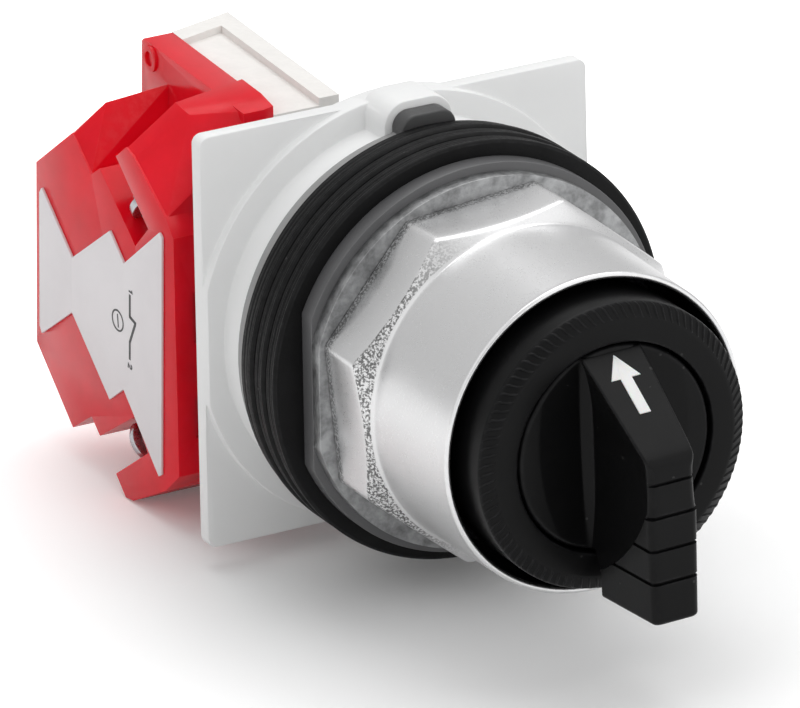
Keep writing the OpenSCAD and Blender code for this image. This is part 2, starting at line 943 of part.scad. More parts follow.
// round nose, neck, collar and stem; the nose lies along the cam's radius
module pusher(side) {
    turn = side < 0 ? 180 + pusher_angle : -pusher_angle;
    color([0.9, 0.9, 0.88])
    translate([side * pusher_x, 0, -pusher_z]) {
        rotate([0, -turn, 0]) {
            translate([0, nose_y, 0])
                rotate([0, 90, 0])
                    cylinder(h = nose_len, r = nose_r, center = true);
            translate([-nose_len / 2, nose_y, -nose_r])
                cube([nose_len, collar_y - nose_y, 2 * nose_r]);
        }
        rod(pusher_r + 0.7, collar_y - 0.1, collar_y + collar_t);
        rod(pusher_r, collar_y, pusher_end_y);
    }
}

module pusher_left() {
    pusher(-1);
}

module pusher_right() {
    pusher(1);
}

// places the block's leaning frame: first axis to the rear, second axis up
module leaning() {
    translate([0, cover_rear, block_mid_z])
        rotate([block_lean, 0, 0])
            children();
}

// cuts a leaning piece flush with the cover, apart from the lip beside the base
module front_cut() {
    high = 2 * (block_up + block_down);
    translate([-base_half - free_gap, cover_rear - 8, -high / 2])
        cube([base_half + block_left_x, 8, high]);
    translate([-block_left_x - 1, cover_rear - front_lip - 8, -high / 2])
        cube([block_left_x, 8, high]);
}

// heights are half heights about the middle of the red part
roof_depth = red_depth - 8.2;
rear_half = 10.25;
ridge_half = 16.75;
notch_half = 13.7;
barrier_half = 15.15;
finger_half = 19.75;
front_half = 15.3;
channel_low = [7.2, 9.6];
channel_in = [4.4, 12.6];

red_half_points = [
    [-3, front_half - 3.4],
    [0.6, front_half],
    [7.6, finger_half - 0.35],
    [9.3, finger_half],
    [11.5, 17.95],
    channel_in,
    channel_low,
    [15.1, barrier_half],
    [17, notch_half],
    [roof_depth, ridge_half],
    [red_depth, rear_half]
];

module red_outline() {
    last = len(red_half_points) - 1;
    lower = [for (i = [last : -1 : 0]) [red_half_points[i][0], -red_half_points[i][1]]];
    polygon(concat(red_half_points, lower));
}

// prism bevelled at its left end, through three outlines from left to right
module bevelled(left, middle, right, bevel_w, end_x) {
    hull() {
        along_x(-block_left_x + 0.1, -block_left_x + 0.2)
            polygon(left);
        along_x(-block_left_x + bevel_w, -block_left_x + bevel_w + 0.1)
            polygon(middle);
        along_x(end_x - 0.1, end_x)
            polygon(right);
    }
}

module block_cavity(x0, x1) {
    translate([x0, cavity_front, cavity_low])
        cube([x1 - x0, cavity_rear - cavity_front, cavity_high - cavity_low]);
}

module red_housing() {
    // the bevelled pieces start just inside the plain outline
    in = 0.15;
    roof_base = [[17 + in, 8], [red_depth - in, 8], [red_depth - in, rear_half - 2 * in], [17 + in, notch_half - in]];
    roof_left = concat(roof_base, [[roof_depth, ridge_half - in]]);
    roof_middle = concat(roof_base, [[roof_depth - 2.1, ridge_half + ridge_rise - 1.25]]);
    roof_right = concat(roof_base, [[roof_depth - 3.4, ridge_half + ridge_rise]]);
    base = [[channel_in[0] + 0.1, channel_in[1] + 0.15], [0.6 + in, front_half - in], [11.2, 17.75]];
    finger_left = concat(base, [[7.6, finger_half - 0.35 - in], [9.3, finger_half - in]]);
    finger_middle = concat(base, [[5, finger_half + finger_rise - 1.2], [8, finger_half + finger_rise - 1]]);
    finger_right = concat(base, [[0.6 + in, block_up + 0.1], [4, block_up + 0.6], [8, block_up + 0.6]]);
    color([0.8, 0.08, 0.1, 0.8])
    difference() {
        union() {
            leaning() {
                along_x(-block_left_x, -red_inner_x)
                    red_outline();
                bevelled(roof_left, roof_middle, roof_right, ridge_bevel_w, -red_inner_x + 0.1);
                bevelled(finger_left, finger_middle, finger_right, finger_bevel_w, -tower_inner_x);
                tower_wall();
            }
        }
        front_cut();
        block_cavity(-block_left_x + block_wall, -tower_inner_x + 1);
        translate([-pusher_x, 0, -pusher_z])
            rod(plunger_r + 0.5, cover_rear - 1, cavity_front + 1);
        // moulding recesses in the front, beside the base
        for (z = [[-9.8, 4.4], [1.8, 5.5]])
            translate([-block_left_x + 2.1, cover_rear - front_lip - 1, z[0] - z[1]])
                cube([1, 1 + recess_d, z[1]]);
        terminal_pockets();
        contact_slots();
    }
}

// thin upright wall beside the terminals, with a round boss near its rear corner
module tower_wall() {
    along_x(-red_inner_x - 0.3, -tower_inner_x)
        polygon([
            [-2, -block_down],
            [tower_depth, -block_down],
            [tower_depth, block_up - 0.4],
            [tower_depth - 0.4, block_up],
            [-2, block_up]
        ]);
    translate([-red_inner_x - 0.6, tower_depth - 2.1, block_up - 1.6])
        rotate([0, 90, 0])
            difference() {
                cylinder(h = 0.4, r = 1.4);
                translate([0, 0, -1])
                    cylinder(h = 2, r = 0.8);
            }
}

// one terminal lies along the slanted channel, above or below the middle
channel_angle = 36;
shank_r = 1.2;
shank_in = 2;
clamp_out = 3.2;
clamp_t = 0.9;

module terminal_place(s) {
    leaning()
        mirror([0, 0, s < 0 ? 1 : 0])
            translate([
                -block_left_x + terminal_inset,
                (channel_low[0] + channel_in[0]) / 2,
                (channel_low[1] + channel_in[1]) / 2
            ])
                rotate([channel_angle, 0, 0])
                    children();
}

// the shank's hole in the channel's floor
module terminal_pockets() {
    for (s = [-1, 1])
        terminal_place(s)
            rod(shank_r + run_gap, -shank_in - 0.1, 3);
}

module contact_slots() {
    for (s = [-1, 1])
        fixed_strip(s, run_gap);
}

module clear_housing() {
    width = tower_inner_x - block_right_x;
    left_rear = tower_depth - 0.2;
    rim = [clear_rim_w, left_rear - clear_rim_w];
    color([0.9, 0.9, 0.88, 0.5])
    difference() {
        leaning()
            difference() {
                translate([-tower_inner_x, 0, -block_down])
                    linear_extrude(block_up + block_down)
                        polygon([[0, -2], [width, -2], [width, left_rear + clear_skew], [0, left_rear]]);
                // lower top inside the rim
                translate([-tower_inner_x, 0, block_up - clear_rim_h])
                    linear_extrude(clear_rim_h + 1)
                        polygon([
                            [-1, -3],
                            [width - rim[0], -3],
                            [width - rim[0], rim[1] + clear_skew * (width - rim[0]) / width],
                            [-1, rim[1] - clear_skew / width]
                        ]);
                // moulded relief slots in the rear face
                for (z = [0, 6, 12])
                    translate([-tower_inner_x, left_rear, z - 1.2])
                        rotate([0, 0, block_angle])
                            translate([2, -0.8, 0])
                                cube([width - 4, 2, 2.4]);
            }
        front_cut();
        block_cavity(-tower_inner_x - 1, -block_right_x - block_wall);
        translate([-pusher_x, 0, -pusher_z])
            rod(plunger_r + 0.5, cover_rear - 1, cavity_front + 1);
        for (sz = [-1, 1])
            translate([-block_screw_x, 0, sz * block_screw_z]) {
                rod(block_screw_r + 0.15, cover_rear - 1, screw_seat_y + 1);
                rod(block_screw_r + 1.5, screw_seat_y, cover_rear + tower_depth + clear_skew + 3);
            }
        contact_slots();
    }
}

module label_outline() {
    polygon([
        [0.95, -13.3], [0.95, 13.3], [1.5, 13.7], [9.3, 7.1], [12.4, 9.55], [20.85, 3.1], [27.7, 8.3],
        [28.2, 7.6], [28.2, -7.6], [27.7, -8.3], [20.85, -3.1], [12.4, -9.55], [9.3, -7.1], [1.5, -13.7]
    ]);
}

module label_plate() {
    color([0.93, 0.93, 0.94])
    leaning()
        translate([0, 0, -0.25])
            along_x(-block_left_x - label_t, -block_left_x)
                label_outline();
}

// moving plunger: stem, shoulder behind the bridge and a spring guide
module plunger() {
    color([0.93, 0.93, 0.9])
    translate([-pusher_x, 0, -pusher_z]) {
        rod(plunger_r, plunger_y, bridge_y);
        rod(guide_r, bridge_y - 0.1, shoulder_y);
        rod(plunger_r, shoulder_y, shoulder_y + shoulder_t);
        rod(guide_r, shoulder_y, spring_front + guide_len);
    }
}

module contact_bridge() {
    color([0.8, 0.6, 0.3])
    translate([-pusher_x, 0, -pusher_z])
        difference() {
            union() {
                translate([-bridge_w / 2, bridge_y, -bridge_half])
                    cube([bridge_w, strip_t, 2 * bridge_half]);
                for (s = [-1, 1])
                    translate([0, 0, s * tip_offset])
                        rod(tip_r, bridge_y + strip_t - 0.1, bridge_y + strip_t + tip_t);
            }
            rod(guide_r + run_gap, bridge_y - 1, bridge_y + strip_t + 1);
        }
}

// flat strip that carries a fixed tip, grown by gap when it cuts its slot
module fixed_strip(s, gap) {
    inner = tip_offset - 2;
    reach = s > 0 ? cavity_high + pusher_z + 0.7 : -cavity_low - pusher_z + 0.7;
    translate([-pusher_x - bridge_w / 2 - 5 - gap, strip_y - gap, -pusher_z + (s > 0 ? inner : -reach) - gap])
        cube([bridge_w + 5 + 2 * gap, strip_t + 2 * gap, reach - inner + 2 * gap]);
}

module fixed_contact(s) {
    color([0.82, 0.62, 0.32])
    union() {
        fixed_strip(s, 0);
        translate([-pusher_x, 0, -pusher_z + s * tip_offset])
            rod(tip_r, fixed_tip_y, strip_y + 0.1);
    }
}

module fixed_contact_upper() {
    fixed_contact(1);
}

module fixed_contact_lower() {
    fixed_contact(-1);
}

module return_spring() {
    color([0.62, 0.62, 0.64])
    translate([-pusher_x, 0, -pusher_z])
        coil(spring_front, cavity_rear, spring_r, 0.3, 4, 18, 6);
}

// pan head screw on the clamp in the slanted channel
module terminal_screw(s) {
    head = clamp_out + clamp_t;
    color([0.78, 0.78, 0.8])
    terminal_place(s)
        difference() {
            union() {
                rod(terminal_head_r, head, head + 1.1);
                rod(shank_r, -shank_in, head + 0.1);
            }
            translate([-2.4, head + 0.5, -0.3])
                cube([4.8, 1.2, 0.6]);
        }
}

module terminal_screw_upper() {
    terminal_screw(1);
}

module terminal_screw_lower() {
    terminal_screw(-1);
}

// flat clamp with rounded ends across the channel
module wire_clamp(s) {
    color([0.85, 0.86, 0.87])
    terminal_place(s)
        difference() {
            slab(clamp_out, clamp_out + clamp_t)
                intersection() {
                    circle(clamp_half);
                    square([2 * clamp_half, 2 * clamp_w], center = true);
                }
            rod(shank_r + run_gap, clamp_out - 1, clamp_out + clamp_t + 1);
        }
}

module wire_clamp_upper() {
    wire_clamp(1);
}

module wire_clamp_lower() {
    wire_clamp(-1);
}

// long screw through the clear part into the rear cover
module block_screw(s) {
    color([0.75, 0.76, 0.78])
    translate([-block_screw_x, 0, s * block_screw_z])
        difference() {
            union() {
                rod(block_screw_r - run_gap, base_rear - 2, screw_seat_y + 0.1);
                rod(block_screw_r + 1.2, screw_seat_y, screw_seat_y + 1.7);
            }
            translate([-3, screw_seat_y + 0.9, -0.35])
                cube([6, 1, 0.7]);
        }
}

module block_screw_upper() {
    block_screw(1);
}

module block_screw_lower() {
    block_screw(-1);
}

mounting_plate();
locating_ring();
gasket_1();
gasket_2();
gasket_3();
gasket_4();
gasket_5();
gasket_6();
thrust_washer();
trim_washer();
ring_nut();
operator_body();
rear_cover();
cover_screw_1();
cover_screw_2();
cover_screw_3();
cover_screw_4();
bezel_ring();
shaft_seal();
knob();
arrow_insert();
spindle();
retaining_clip();
cam();
cam_screw();
detent_carrier();
detent_ball_1();
detent_ball_2();
detent_spring_1();
detent_spring_2();
pusher_left();
pusher_right();
red_housing();
clear_housing();
label_plate();
plunger();
contact_bridge();
return_spring();
fixed_contact_upper();
fixed_contact_lower();
terminal_screw_upper();
terminal_screw_lower();
wire_clamp_upper();
wire_clamp_lower();
block_screw_upper();
block_screw_lower();
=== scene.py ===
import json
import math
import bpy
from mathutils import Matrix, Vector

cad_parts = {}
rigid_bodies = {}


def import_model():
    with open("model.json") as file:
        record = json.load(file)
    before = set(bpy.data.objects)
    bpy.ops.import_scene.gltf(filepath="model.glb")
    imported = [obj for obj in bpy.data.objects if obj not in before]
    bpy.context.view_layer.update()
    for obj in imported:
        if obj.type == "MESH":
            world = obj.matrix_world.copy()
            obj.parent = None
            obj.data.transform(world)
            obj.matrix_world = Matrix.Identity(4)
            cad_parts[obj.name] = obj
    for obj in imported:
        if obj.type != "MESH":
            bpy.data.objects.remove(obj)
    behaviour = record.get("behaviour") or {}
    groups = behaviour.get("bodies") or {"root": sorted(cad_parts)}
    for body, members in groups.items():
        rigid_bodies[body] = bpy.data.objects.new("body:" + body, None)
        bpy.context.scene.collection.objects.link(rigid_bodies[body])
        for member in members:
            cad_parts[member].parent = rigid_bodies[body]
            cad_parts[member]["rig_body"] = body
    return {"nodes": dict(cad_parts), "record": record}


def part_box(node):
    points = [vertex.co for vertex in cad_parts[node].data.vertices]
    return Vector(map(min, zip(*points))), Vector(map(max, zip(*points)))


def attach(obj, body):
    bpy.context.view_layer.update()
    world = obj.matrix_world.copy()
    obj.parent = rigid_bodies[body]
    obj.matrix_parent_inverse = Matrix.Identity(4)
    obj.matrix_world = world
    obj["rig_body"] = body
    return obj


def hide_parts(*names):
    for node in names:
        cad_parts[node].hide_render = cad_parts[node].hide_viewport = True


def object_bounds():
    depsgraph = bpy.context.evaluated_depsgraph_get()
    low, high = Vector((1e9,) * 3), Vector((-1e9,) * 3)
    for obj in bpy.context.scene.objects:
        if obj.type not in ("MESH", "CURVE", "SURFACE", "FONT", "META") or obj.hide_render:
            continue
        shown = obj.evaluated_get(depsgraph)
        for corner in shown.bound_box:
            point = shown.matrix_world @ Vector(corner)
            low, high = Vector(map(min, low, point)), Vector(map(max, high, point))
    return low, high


bl_info = {
    "name": "Rotary selector switch",
    "version": (1, 0, 0),
    "blender": (4, 5, 0),
    "location": "3D View > Sidebar > Switch",
    "description": "Builds the finished surfaces of a panel selector switch over its packed solids",
    "category": "Object",
}

from functools import cache

import bmesh
import bpy
import numpy as np
from bpy.props import FloatProperty, FloatVectorProperty, IntProperty, PointerProperty
from mathutils import Matrix, Vector

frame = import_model()
CAD_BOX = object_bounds()
MM = 0.001
SENSOR = 36
PHOTO_WIDTH = 800
SLOT_OF = {part["node"]: part["material_slot"] for part in frame["record"]["subparts"]}


def depth_of(node):
    """Front and rear stations of a node along the switch axis."""
    low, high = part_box(node)
    return low.y, high.y


def reach_of(node):
    """Half width of a node that is round about the switch axis."""
    low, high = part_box(node)
    return (high.x - low.x) / 2


def body_of(node):
    return frame["nodes"][node]["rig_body"]


# Sizes and colours that a user would change.


def place(name, description, default, **limits):
    """A station or height in metres."""
    units = {"precision": 5, "subtype": "DISTANCE", "unit": "LENGTH"}
    return FloatProperty(name=name, description=description, default=default, **units, **limits)


def length(name, description, default):
    return place(name, description, default, min=0.0)


def angle(name, description, degrees):
    return FloatProperty(name=name, description=description, default=math.radians(degrees), subtype="ANGLE")


def power(name, description, watts):
    return FloatProperty(name=name, description=description, default=watts, unit="POWER")


def colour(name, description, default):
    return FloatVectorProperty(
        name=name, description=description, default=default, size=3, min=0.0, max=1.0, subtype="COLOR"
    )


class KnobSizes(bpy.types.PropertyGroup):
    disc_radius: length("Disc radius", "Radius of the knob's disc", 10.7 * MM)
    disc_front: place("Disc front", "Station of the disc's front face on the axis", -44.0 * MM)
    disc_rear: place("Disc rear", "Station of the disc's rear face on the axis", depth_of("knob")[1])
    rim_round: length("Rim rounding", "Rounding of the disc's front rim", 0.4 * MM)
    lever_front: place("Lever front", "Station of the lever's front face", depth_of("knob")[0])
    lever_top: place("Lever top", "Height where the sloping face meets the front face", 2.7 * MM)
    lever_foot: place("Lever foot", "Height of the lever's lower end", -14.5 * MM)
    turn: angle("Turn", "Turn of the knob about the axis at rest", -1.8)
    slope_top: place("Slope top", "Height where the sloping face meets the disc", 10.2 * MM)
    root_width: length("Root width", "Width of the lever at the disc", 7.1 * MM)
    tip_width: length("Tip width", "Width of the lever at its front face", 5.7 * MM)
    tip_taper: length("Tip taper", "How much narrower the front face is at the foot", 0.7 * MM)
    edge_round: length("Edge rounding", "Rounding of the lever's front edges", 0.75 * MM)
    hollow_radius: length("Hollow radius", "Radius of the hollow's edge on the lever's sides", 20.4 * MM)
    hollow_depth: length("Hollow depth", "Depth of the hollows in the lever's sides", 1.3 * MM)
    hollow_station: place("Hollow station", "Station of the centre of the hollow's edge", -36.4 * MM)
    hollow_height: place("Hollow height", "Height of the centre of the hollow's edge", 6.4 * MM)
    scoop_radius: length("Scoop radius", "Radius of the scoop's edge in the disc", 24.2 * MM)
    scoop_across: length("Scoop centre", "Distance of the scoop's centre beyond the axis", 15.8 * MM)
    scoop_height: place("Scoop height", "Height of the scoop's centre", 1.5 * MM)
    scoop_slope: angle("Scoop slope", "Slope of the scoops beside the lever", 8.0)
    grooves: IntProperty(name="Grooves", description="Number of grip grooves", default=4, min=0, max=8)
    groove_pitch: length("Groove pitch", "Distance between two grip grooves", 3.5 * MM)
    groove_width: length("Groove width", "Width of a grip groove", 0.4 * MM)
    groove_depth: length("Groove depth", "Depth of a grip groove", 0.35 * MM)


class BezelSizes(bpy.types.PropertyGroup):
    radius: length("Radius", "Outer radius of the smooth side", 15.0 * MM)
    face_radius: length("Face radius", "Radius of the flat front face", 13.5 * MM)
    bore: length("Bore", "Radius of the opening round the knob", 11.0 * MM)
    bevel: length("Bevel", "Depth of the knurled bevel", 0.8 * MM)
    teeth: IntProperty(name="Teeth", description="Number of knurl teeth", default=96, min=12, max=160)
    tooth_height: length("Tooth height", "Height of a knurl tooth", 0.2 * MM)
    tooth_slant: angle("Tooth slant", "Turn of a tooth along its length", 4.0)


class NutSizes(bpy.types.PropertyGroup):
    corner_radius: length("Corner radius", "Distance from the axis to a corner", 19.3 * MM)
    turn: angle("Turn", "Turn of the octagon", 5.4)
    flat_depth: length("Flat depth", "Height of the octagon's corners", 5.9 * MM)
    skirt_root: length("Skirt root", "Radius of the skirt at the octagon", 17.1 * MM)
    skirt_mouth: length("Skirt mouth", "Radius of the skirt at its mouth", 16.8 * MM)
    bore: length("Bore", "Radius of the threaded bore", 15.05 * MM)
    wall: length("Wall", "Wall of the skirt at its mouth", 0.7 * MM)
    edge_round: length("Edge rounding", "Softness of the cast edges", 0.3 * MM)


class StackSizes(bpy.types.PropertyGroup):
    gaskets: IntProperty(name="Gaskets", description="Number of thin gaskets", default=5, min=1, max=12)
    radius: length("Radius", "Outer radius of the wide gaskets", 22.3 * MM)
    step: length("Step", "How much smaller every second gasket is", 0.2 * MM)
    bore: length("Bore", "Radius of the gaskets' bore", 15.1 * MM)


class BlockSizes(bpy.types.PropertyGroup):
    lean: angle("Lean", "Lean of the contact block", 3.1)
    pivot_depth: place("Pivot depth", "Station about which the block leans", 11.0 * MM)
    pivot_height: place("Pivot height", "Height about which the block leans", -5.5 * MM)
    ink_width: length("Ink width", "Width of the bold lines on the label", 0.36 * MM)


class Finishes(bpy.types.PropertyGroup):
    black: colour("Black plastic", "Colour of the knob and bezel", (0.0032, 0.0032, 0.0034))
    rubber: colour("Black rubber", "Colour of the gaskets", (0.0040, 0.0040, 0.0042))
    milky: colour("Milky nylon", "Colour of the mounting plate", (0.9, 0.905, 0.903))
    chrome: colour("Chrome", "Colour of the ring nut", (0.80, 0.80, 0.805))
    zinc: colour("Zinc", "Colour of the cast parts and the trim washer", (0.42, 0.425, 0.43))
    fibre: colour("Thrust washer", "Colour of the grey thrust washer", (0.105, 0.105, 0.108))
    ring: colour("Locating ring", "Colour of the locating ring", (0.30, 0.30, 0.30))
    lug: colour("Lug", "Colour of the locating ring's lug", (0.055, 0.055, 0.056))
    red: colour("Red plastic", "Colour of the red housing", (0.90, 0.006, 0.022))
    clear: colour("Clear plastic", "Colour of the clear housing", (0.95, 0.93, 0.90))
    label: colour("Label", "Colour of the label plate", (0.8, 0.77, 0.785))
    arrow: colour("Arrow", "Colour of the arrow insert", (0.80, 0.80, 0.79))
    brass: colour("Brass", "Colour of the contact strips", (0.62, 0.42, 0.16))
    steel: colour("Steel", "Colour of screws and shaft", (0.52, 0.53, 0.55))
    cream: colour("Cream plastic", "Colour of the cam", (0.64, 0.56, 0.34))
    ink: colour("Ink", "Colour of the marks on the label", (0.035, 0.035, 0.038))


class StageSettings(bpy.types.PropertyGroup):
    azimuth: angle("Azimuth", "Turn of the camera", -28.587)
    elevation: angle("Elevation", "Height angle of the camera", 21.993)
    roll: angle("Roll", "Roll of the camera", -0.908)
    distance: length("Distance", "Distance of the camera from the origin", 1.01624)
    lens: FloatProperty(name="Lens", description="Focal length in millimetres", default=450.39, unit="CAMERA")
    key_power: power("Key power", "Power of the overhead lamp", 4.6)
    fill_power: power("Fill power", "Power of the right front lamp, twice that of the left one", 2.4)


# Helpers for node trees, and the shader groups that materials share.


def add(tree, kind, settings=None, inputs=None):
    """Adds a node, sets its options, and fills or links its inputs."""
    made = tree.nodes.new(kind)
    for key, value in (settings or {}).items():
        setattr(made, key, value)
    for key, value in (inputs or {}).items():
        if isinstance(value, bpy.types.NodeSocket):
            tree.links.new(value, made.inputs[key])
        else:
            made.inputs[key].default_value = value
    return made


def maths(tree, operation, a, b=0.0, c=None, clamp=False):
    inputs = {0: a, 1: b}
    if c is not None:
        inputs[2] = c
    return add(tree, "ShaderNodeMath", {"operation": operation, "use_clamp": clamp}, inputs).outputs[0]


def remap(tree, value, low, high, new_low, new_high):
    made = add(
        tree,
        "ShaderNodeMapRange",
        {"clamp": True},
        {"Value": value, "From Min": low, "From Max": high, "To Min": new_low, "To Max": new_high},
    )
    return made.outputs["Result"]


def mix_colour(tree, factor, a, b):
    made = add(tree, "ShaderNodeMix", {"data_type": "RGBA"})
    for socket, value in ((made.inputs[0], factor), (made.inputs[6], a), (made.inputs[7], b)):
        if isinstance(value, bpy.types.NodeSocket):
            tree.links.new(value, socket)
        elif socket.type == "RGBA":
            socket.default_value = (*value[:3], 1.0)
        else:
            socket.default_value = value
    return made.outputs[2]


def new_group(name, inputs, outputs):
    """An empty shader group with named sockets. Inputs are (name, kind, default)."""
    group = bpy.data.node_groups.new(name, "ShaderNodeTree")
    for label, kind, default in inputs:
        socket = group.interface.new_socket(name=label, in_out="INPUT", socket_type="NodeSocket" + kind)
        socket.default_value = default
    for label, kind in outputs:
        group.interface.new_socket(name=label, in_out="OUTPUT", socket_type="NodeSocket" + kind)
    return group, group.nodes.new("NodeGroupInput").outputs, group.nodes.new("NodeGroupOutput").inputs


def object_place(tree):
    return add(tree, "ShaderNodeTexCoord").outputs["Object"]


def noise(tree, scale, detail=3.0, roughness=0.55, vector=None):
    inputs = {"Vector": vector or object_place(tree), "Scale": scale, "Detail": detail, "Roughness": roughness}
    return add(tree, "ShaderNodeTexNoise", None, inputs).outputs["Fac"]


def radius_at(tree):
    """Distance of the shaded point from the switch axis."""
    parts = add(tree, "ShaderNodeSeparateXYZ", None, {0: object_place(tree)}).outputs
    flat = add(tree, "ShaderNodeCombineXYZ", None, {0: parts[0], 2: parts[2]}).outputs[0]
    return add(tree, "ShaderNodeVectorMath", {"operation": "LENGTH"}, {0: flat}).outputs["Value"]


def attribute(tree, name):
    return add(tree, "ShaderNodeAttribute", {"attribute_name": name}).outputs["Fac"]


def group_grain():
    """Fine moulded or cast grain with larger unevenness under it."""
    group, given, out = new_group(
        "Surface grain",
        [("Fine Scale", "Float", 4000.0), ("Broad Scale", "Float", 300.0), ("Fine Share", "Float", 0.6)],
        [("Height", "Float"), ("Mask", "Float")],
    )
    fine = noise(group, given["Fine Scale"], 2.0, 0.6)
    broad = noise(group, given["Broad Scale"], 4.0, 0.5)
    mixed = add(group, "ShaderNodeMix", {"data_type": "FLOAT"})
    group.links.new(given["Fine Share"], mixed.inputs[0])
    group.links.new(broad, mixed.inputs[2])
    group.links.new(fine, mixed.inputs[3])
    group.links.new(mixed.outputs[0], out["Height"])
    group.links.new(remap(group, mixed.outputs[0], 0.35, 0.65, 0.0, 1.0), out["Mask"])
    return group


def group_drift():
    """Slow change of a colour over the surface."""
    group, given, out = new_group(
        "Colour drift",
        [
            ("Colour", "Color", (0.5, 0.5, 0.5, 1.0)),
            ("Other Colour", "Color", (0.4, 0.4, 0.4, 1.0)),
            ("Scale", "Float", 120.0),
            ("Amount", "Float", 0.5),
        ],
        [("Colour", "Color")],
    )
    drift = remap(group, noise(group, given["Scale"], 4.0, 0.6), 0.35, 0.7, 0.0, 1.0)
    share = maths(group, "MULTIPLY", drift, given["Amount"])
    group.links.new(mix_colour(group, share, given["Colour"], given["Other Colour"]), out["Colour"])
    return group


def group_wear_and_highlight():
    """Mask of worn edges with a painted highlight on them, from the piece's own edge attribute, broken up by
    noise.
    """
    group, given, out = new_group(
        "Edge wear", [("Amount", "Float", 0.5), ("Breakup Scale", "Float", 900.0)], [("Mask", "Float")]
    )
    edge = attribute(group, "edge")
    breakup = remap(group, noise(group, given["Breakup Scale"], 5.0, 0.7), 0.42, 0.6, 0.15, 1.0)
    worn_and_lit = maths(group, "MULTIPLY", edge, breakup)
    group.links.new(maths(group, "MULTIPLY", worn_and_lit, given["Amount"], clamp=True), out["Mask"])
    return group


def group_rings():
    """Fine turned or moulded rings round the switch axis, one inside another or one behind another."""
    group, given, out = new_group(
        "Fine rings",
        [("Pitch", "Float", 0.0004), ("Along Axis", "Float", 1.0), ("Raggedness", "Float", 0.3)],
        [("Height", "Float")],
    )
    station = add(group, "ShaderNodeSeparateXYZ", None, {0: object_place(group)}).outputs[1]
    mixed = add(group, "ShaderNodeMix", {"data_type": "FLOAT"})
    group.links.new(given["Along Axis"], mixed.inputs[0])
    group.links.new(radius_at(group), mixed.inputs[2])
    group.links.new(station, mixed.inputs[3])
    ragged = maths(group, "MULTIPLY", noise(group, 260.0, 3.0), given["Raggedness"])
    phase = maths(group, "DIVIDE", mixed.outputs[0], given["Pitch"])
    wave = maths(group, "SINE", maths(group, "MULTIPLY", maths(group, "ADD", phase, ragged), 2 * math.pi))
    spread = add(group, "ShaderNodeCombineXYZ", None, {0: phase, 1: ragged}).outputs[0]
    strong = noise(group, 1.0, 1.0, 0.5, spread)
    group.links.new(maths(group, "MULTIPLY", wave, strong), out["Height"])
    return group


def group_specks():
    """Scattered small specks, such as dust and lint on a dark surface."""
    group, given, out = new_group(
        "Dust specks", [("Scale", "Float", 900.0), ("Size", "Float", 0.07)], [("Mask", "Float")]
    )
    inputs = {"Vector": object_place(group), "Scale": given["Scale"]}
    cells = add(group, "ShaderNodeTexVoronoi", {"feature": "F1"}, inputs)
    near = maths(group, "LESS_THAN", cells.outputs["Distance"], given["Size"])
    some = maths(group, "GREATER_THAN", noise(group, 350.0, 2.0), 0.56)
    group.links.new(maths(group, "MULTIPLY", near, some), out["Mask"])
    return group


GROUPS = {}


def use(tree, name, **inputs):
    """Places one of the shared groups in a material and returns its outputs."""
    values = {key.replace("_", " "): value for key, value in inputs.items()}
    return add(tree, "ShaderNodeGroup", {"node_tree": GROUPS[name]}, values).outputs


def build_groups():
    for make in (group_grain, group_drift, group_wear_and_highlight, group_rings, group_specks):
        group = make()
        GROUPS[group.name] = group


# Finishes.


def new_material(name, **constants):
    """A material with a plain Principled shader whose fixed values sit on its own sockets."""
    material = bpy.data.materials.new(name)
    material.use_nodes = True
    tree = material.node_tree
    shader = tree.nodes["Principled BSDF"]
    for key, value in constants.items():
        socket = shader.inputs[key.replace("_", " ")]
        socket.default_value = (*value[:3], 1.0) if socket.type == "RGBA" else value
    return material, tree, shader


# How fine the effects are that finishes share.
# breakup of the worn edges and their painted highlight
WEAR_AND_HIGHLIGHT_SCALE = 900.0
SPECK_SIZE = 0.09
# breakup of the painted dark reflections on the ring nut, and of its darker rear edge
DARK_PATCH_SCALE = 3800.0
RING_RAGGEDNESS = 0.35


def grey(value):
    return (value, value, value)


def toned(base, tone):
    """A colour as it is, or the base colour times a factor."""
    return tuple(x * tone for x in base) if isinstance(tone, float) else tone


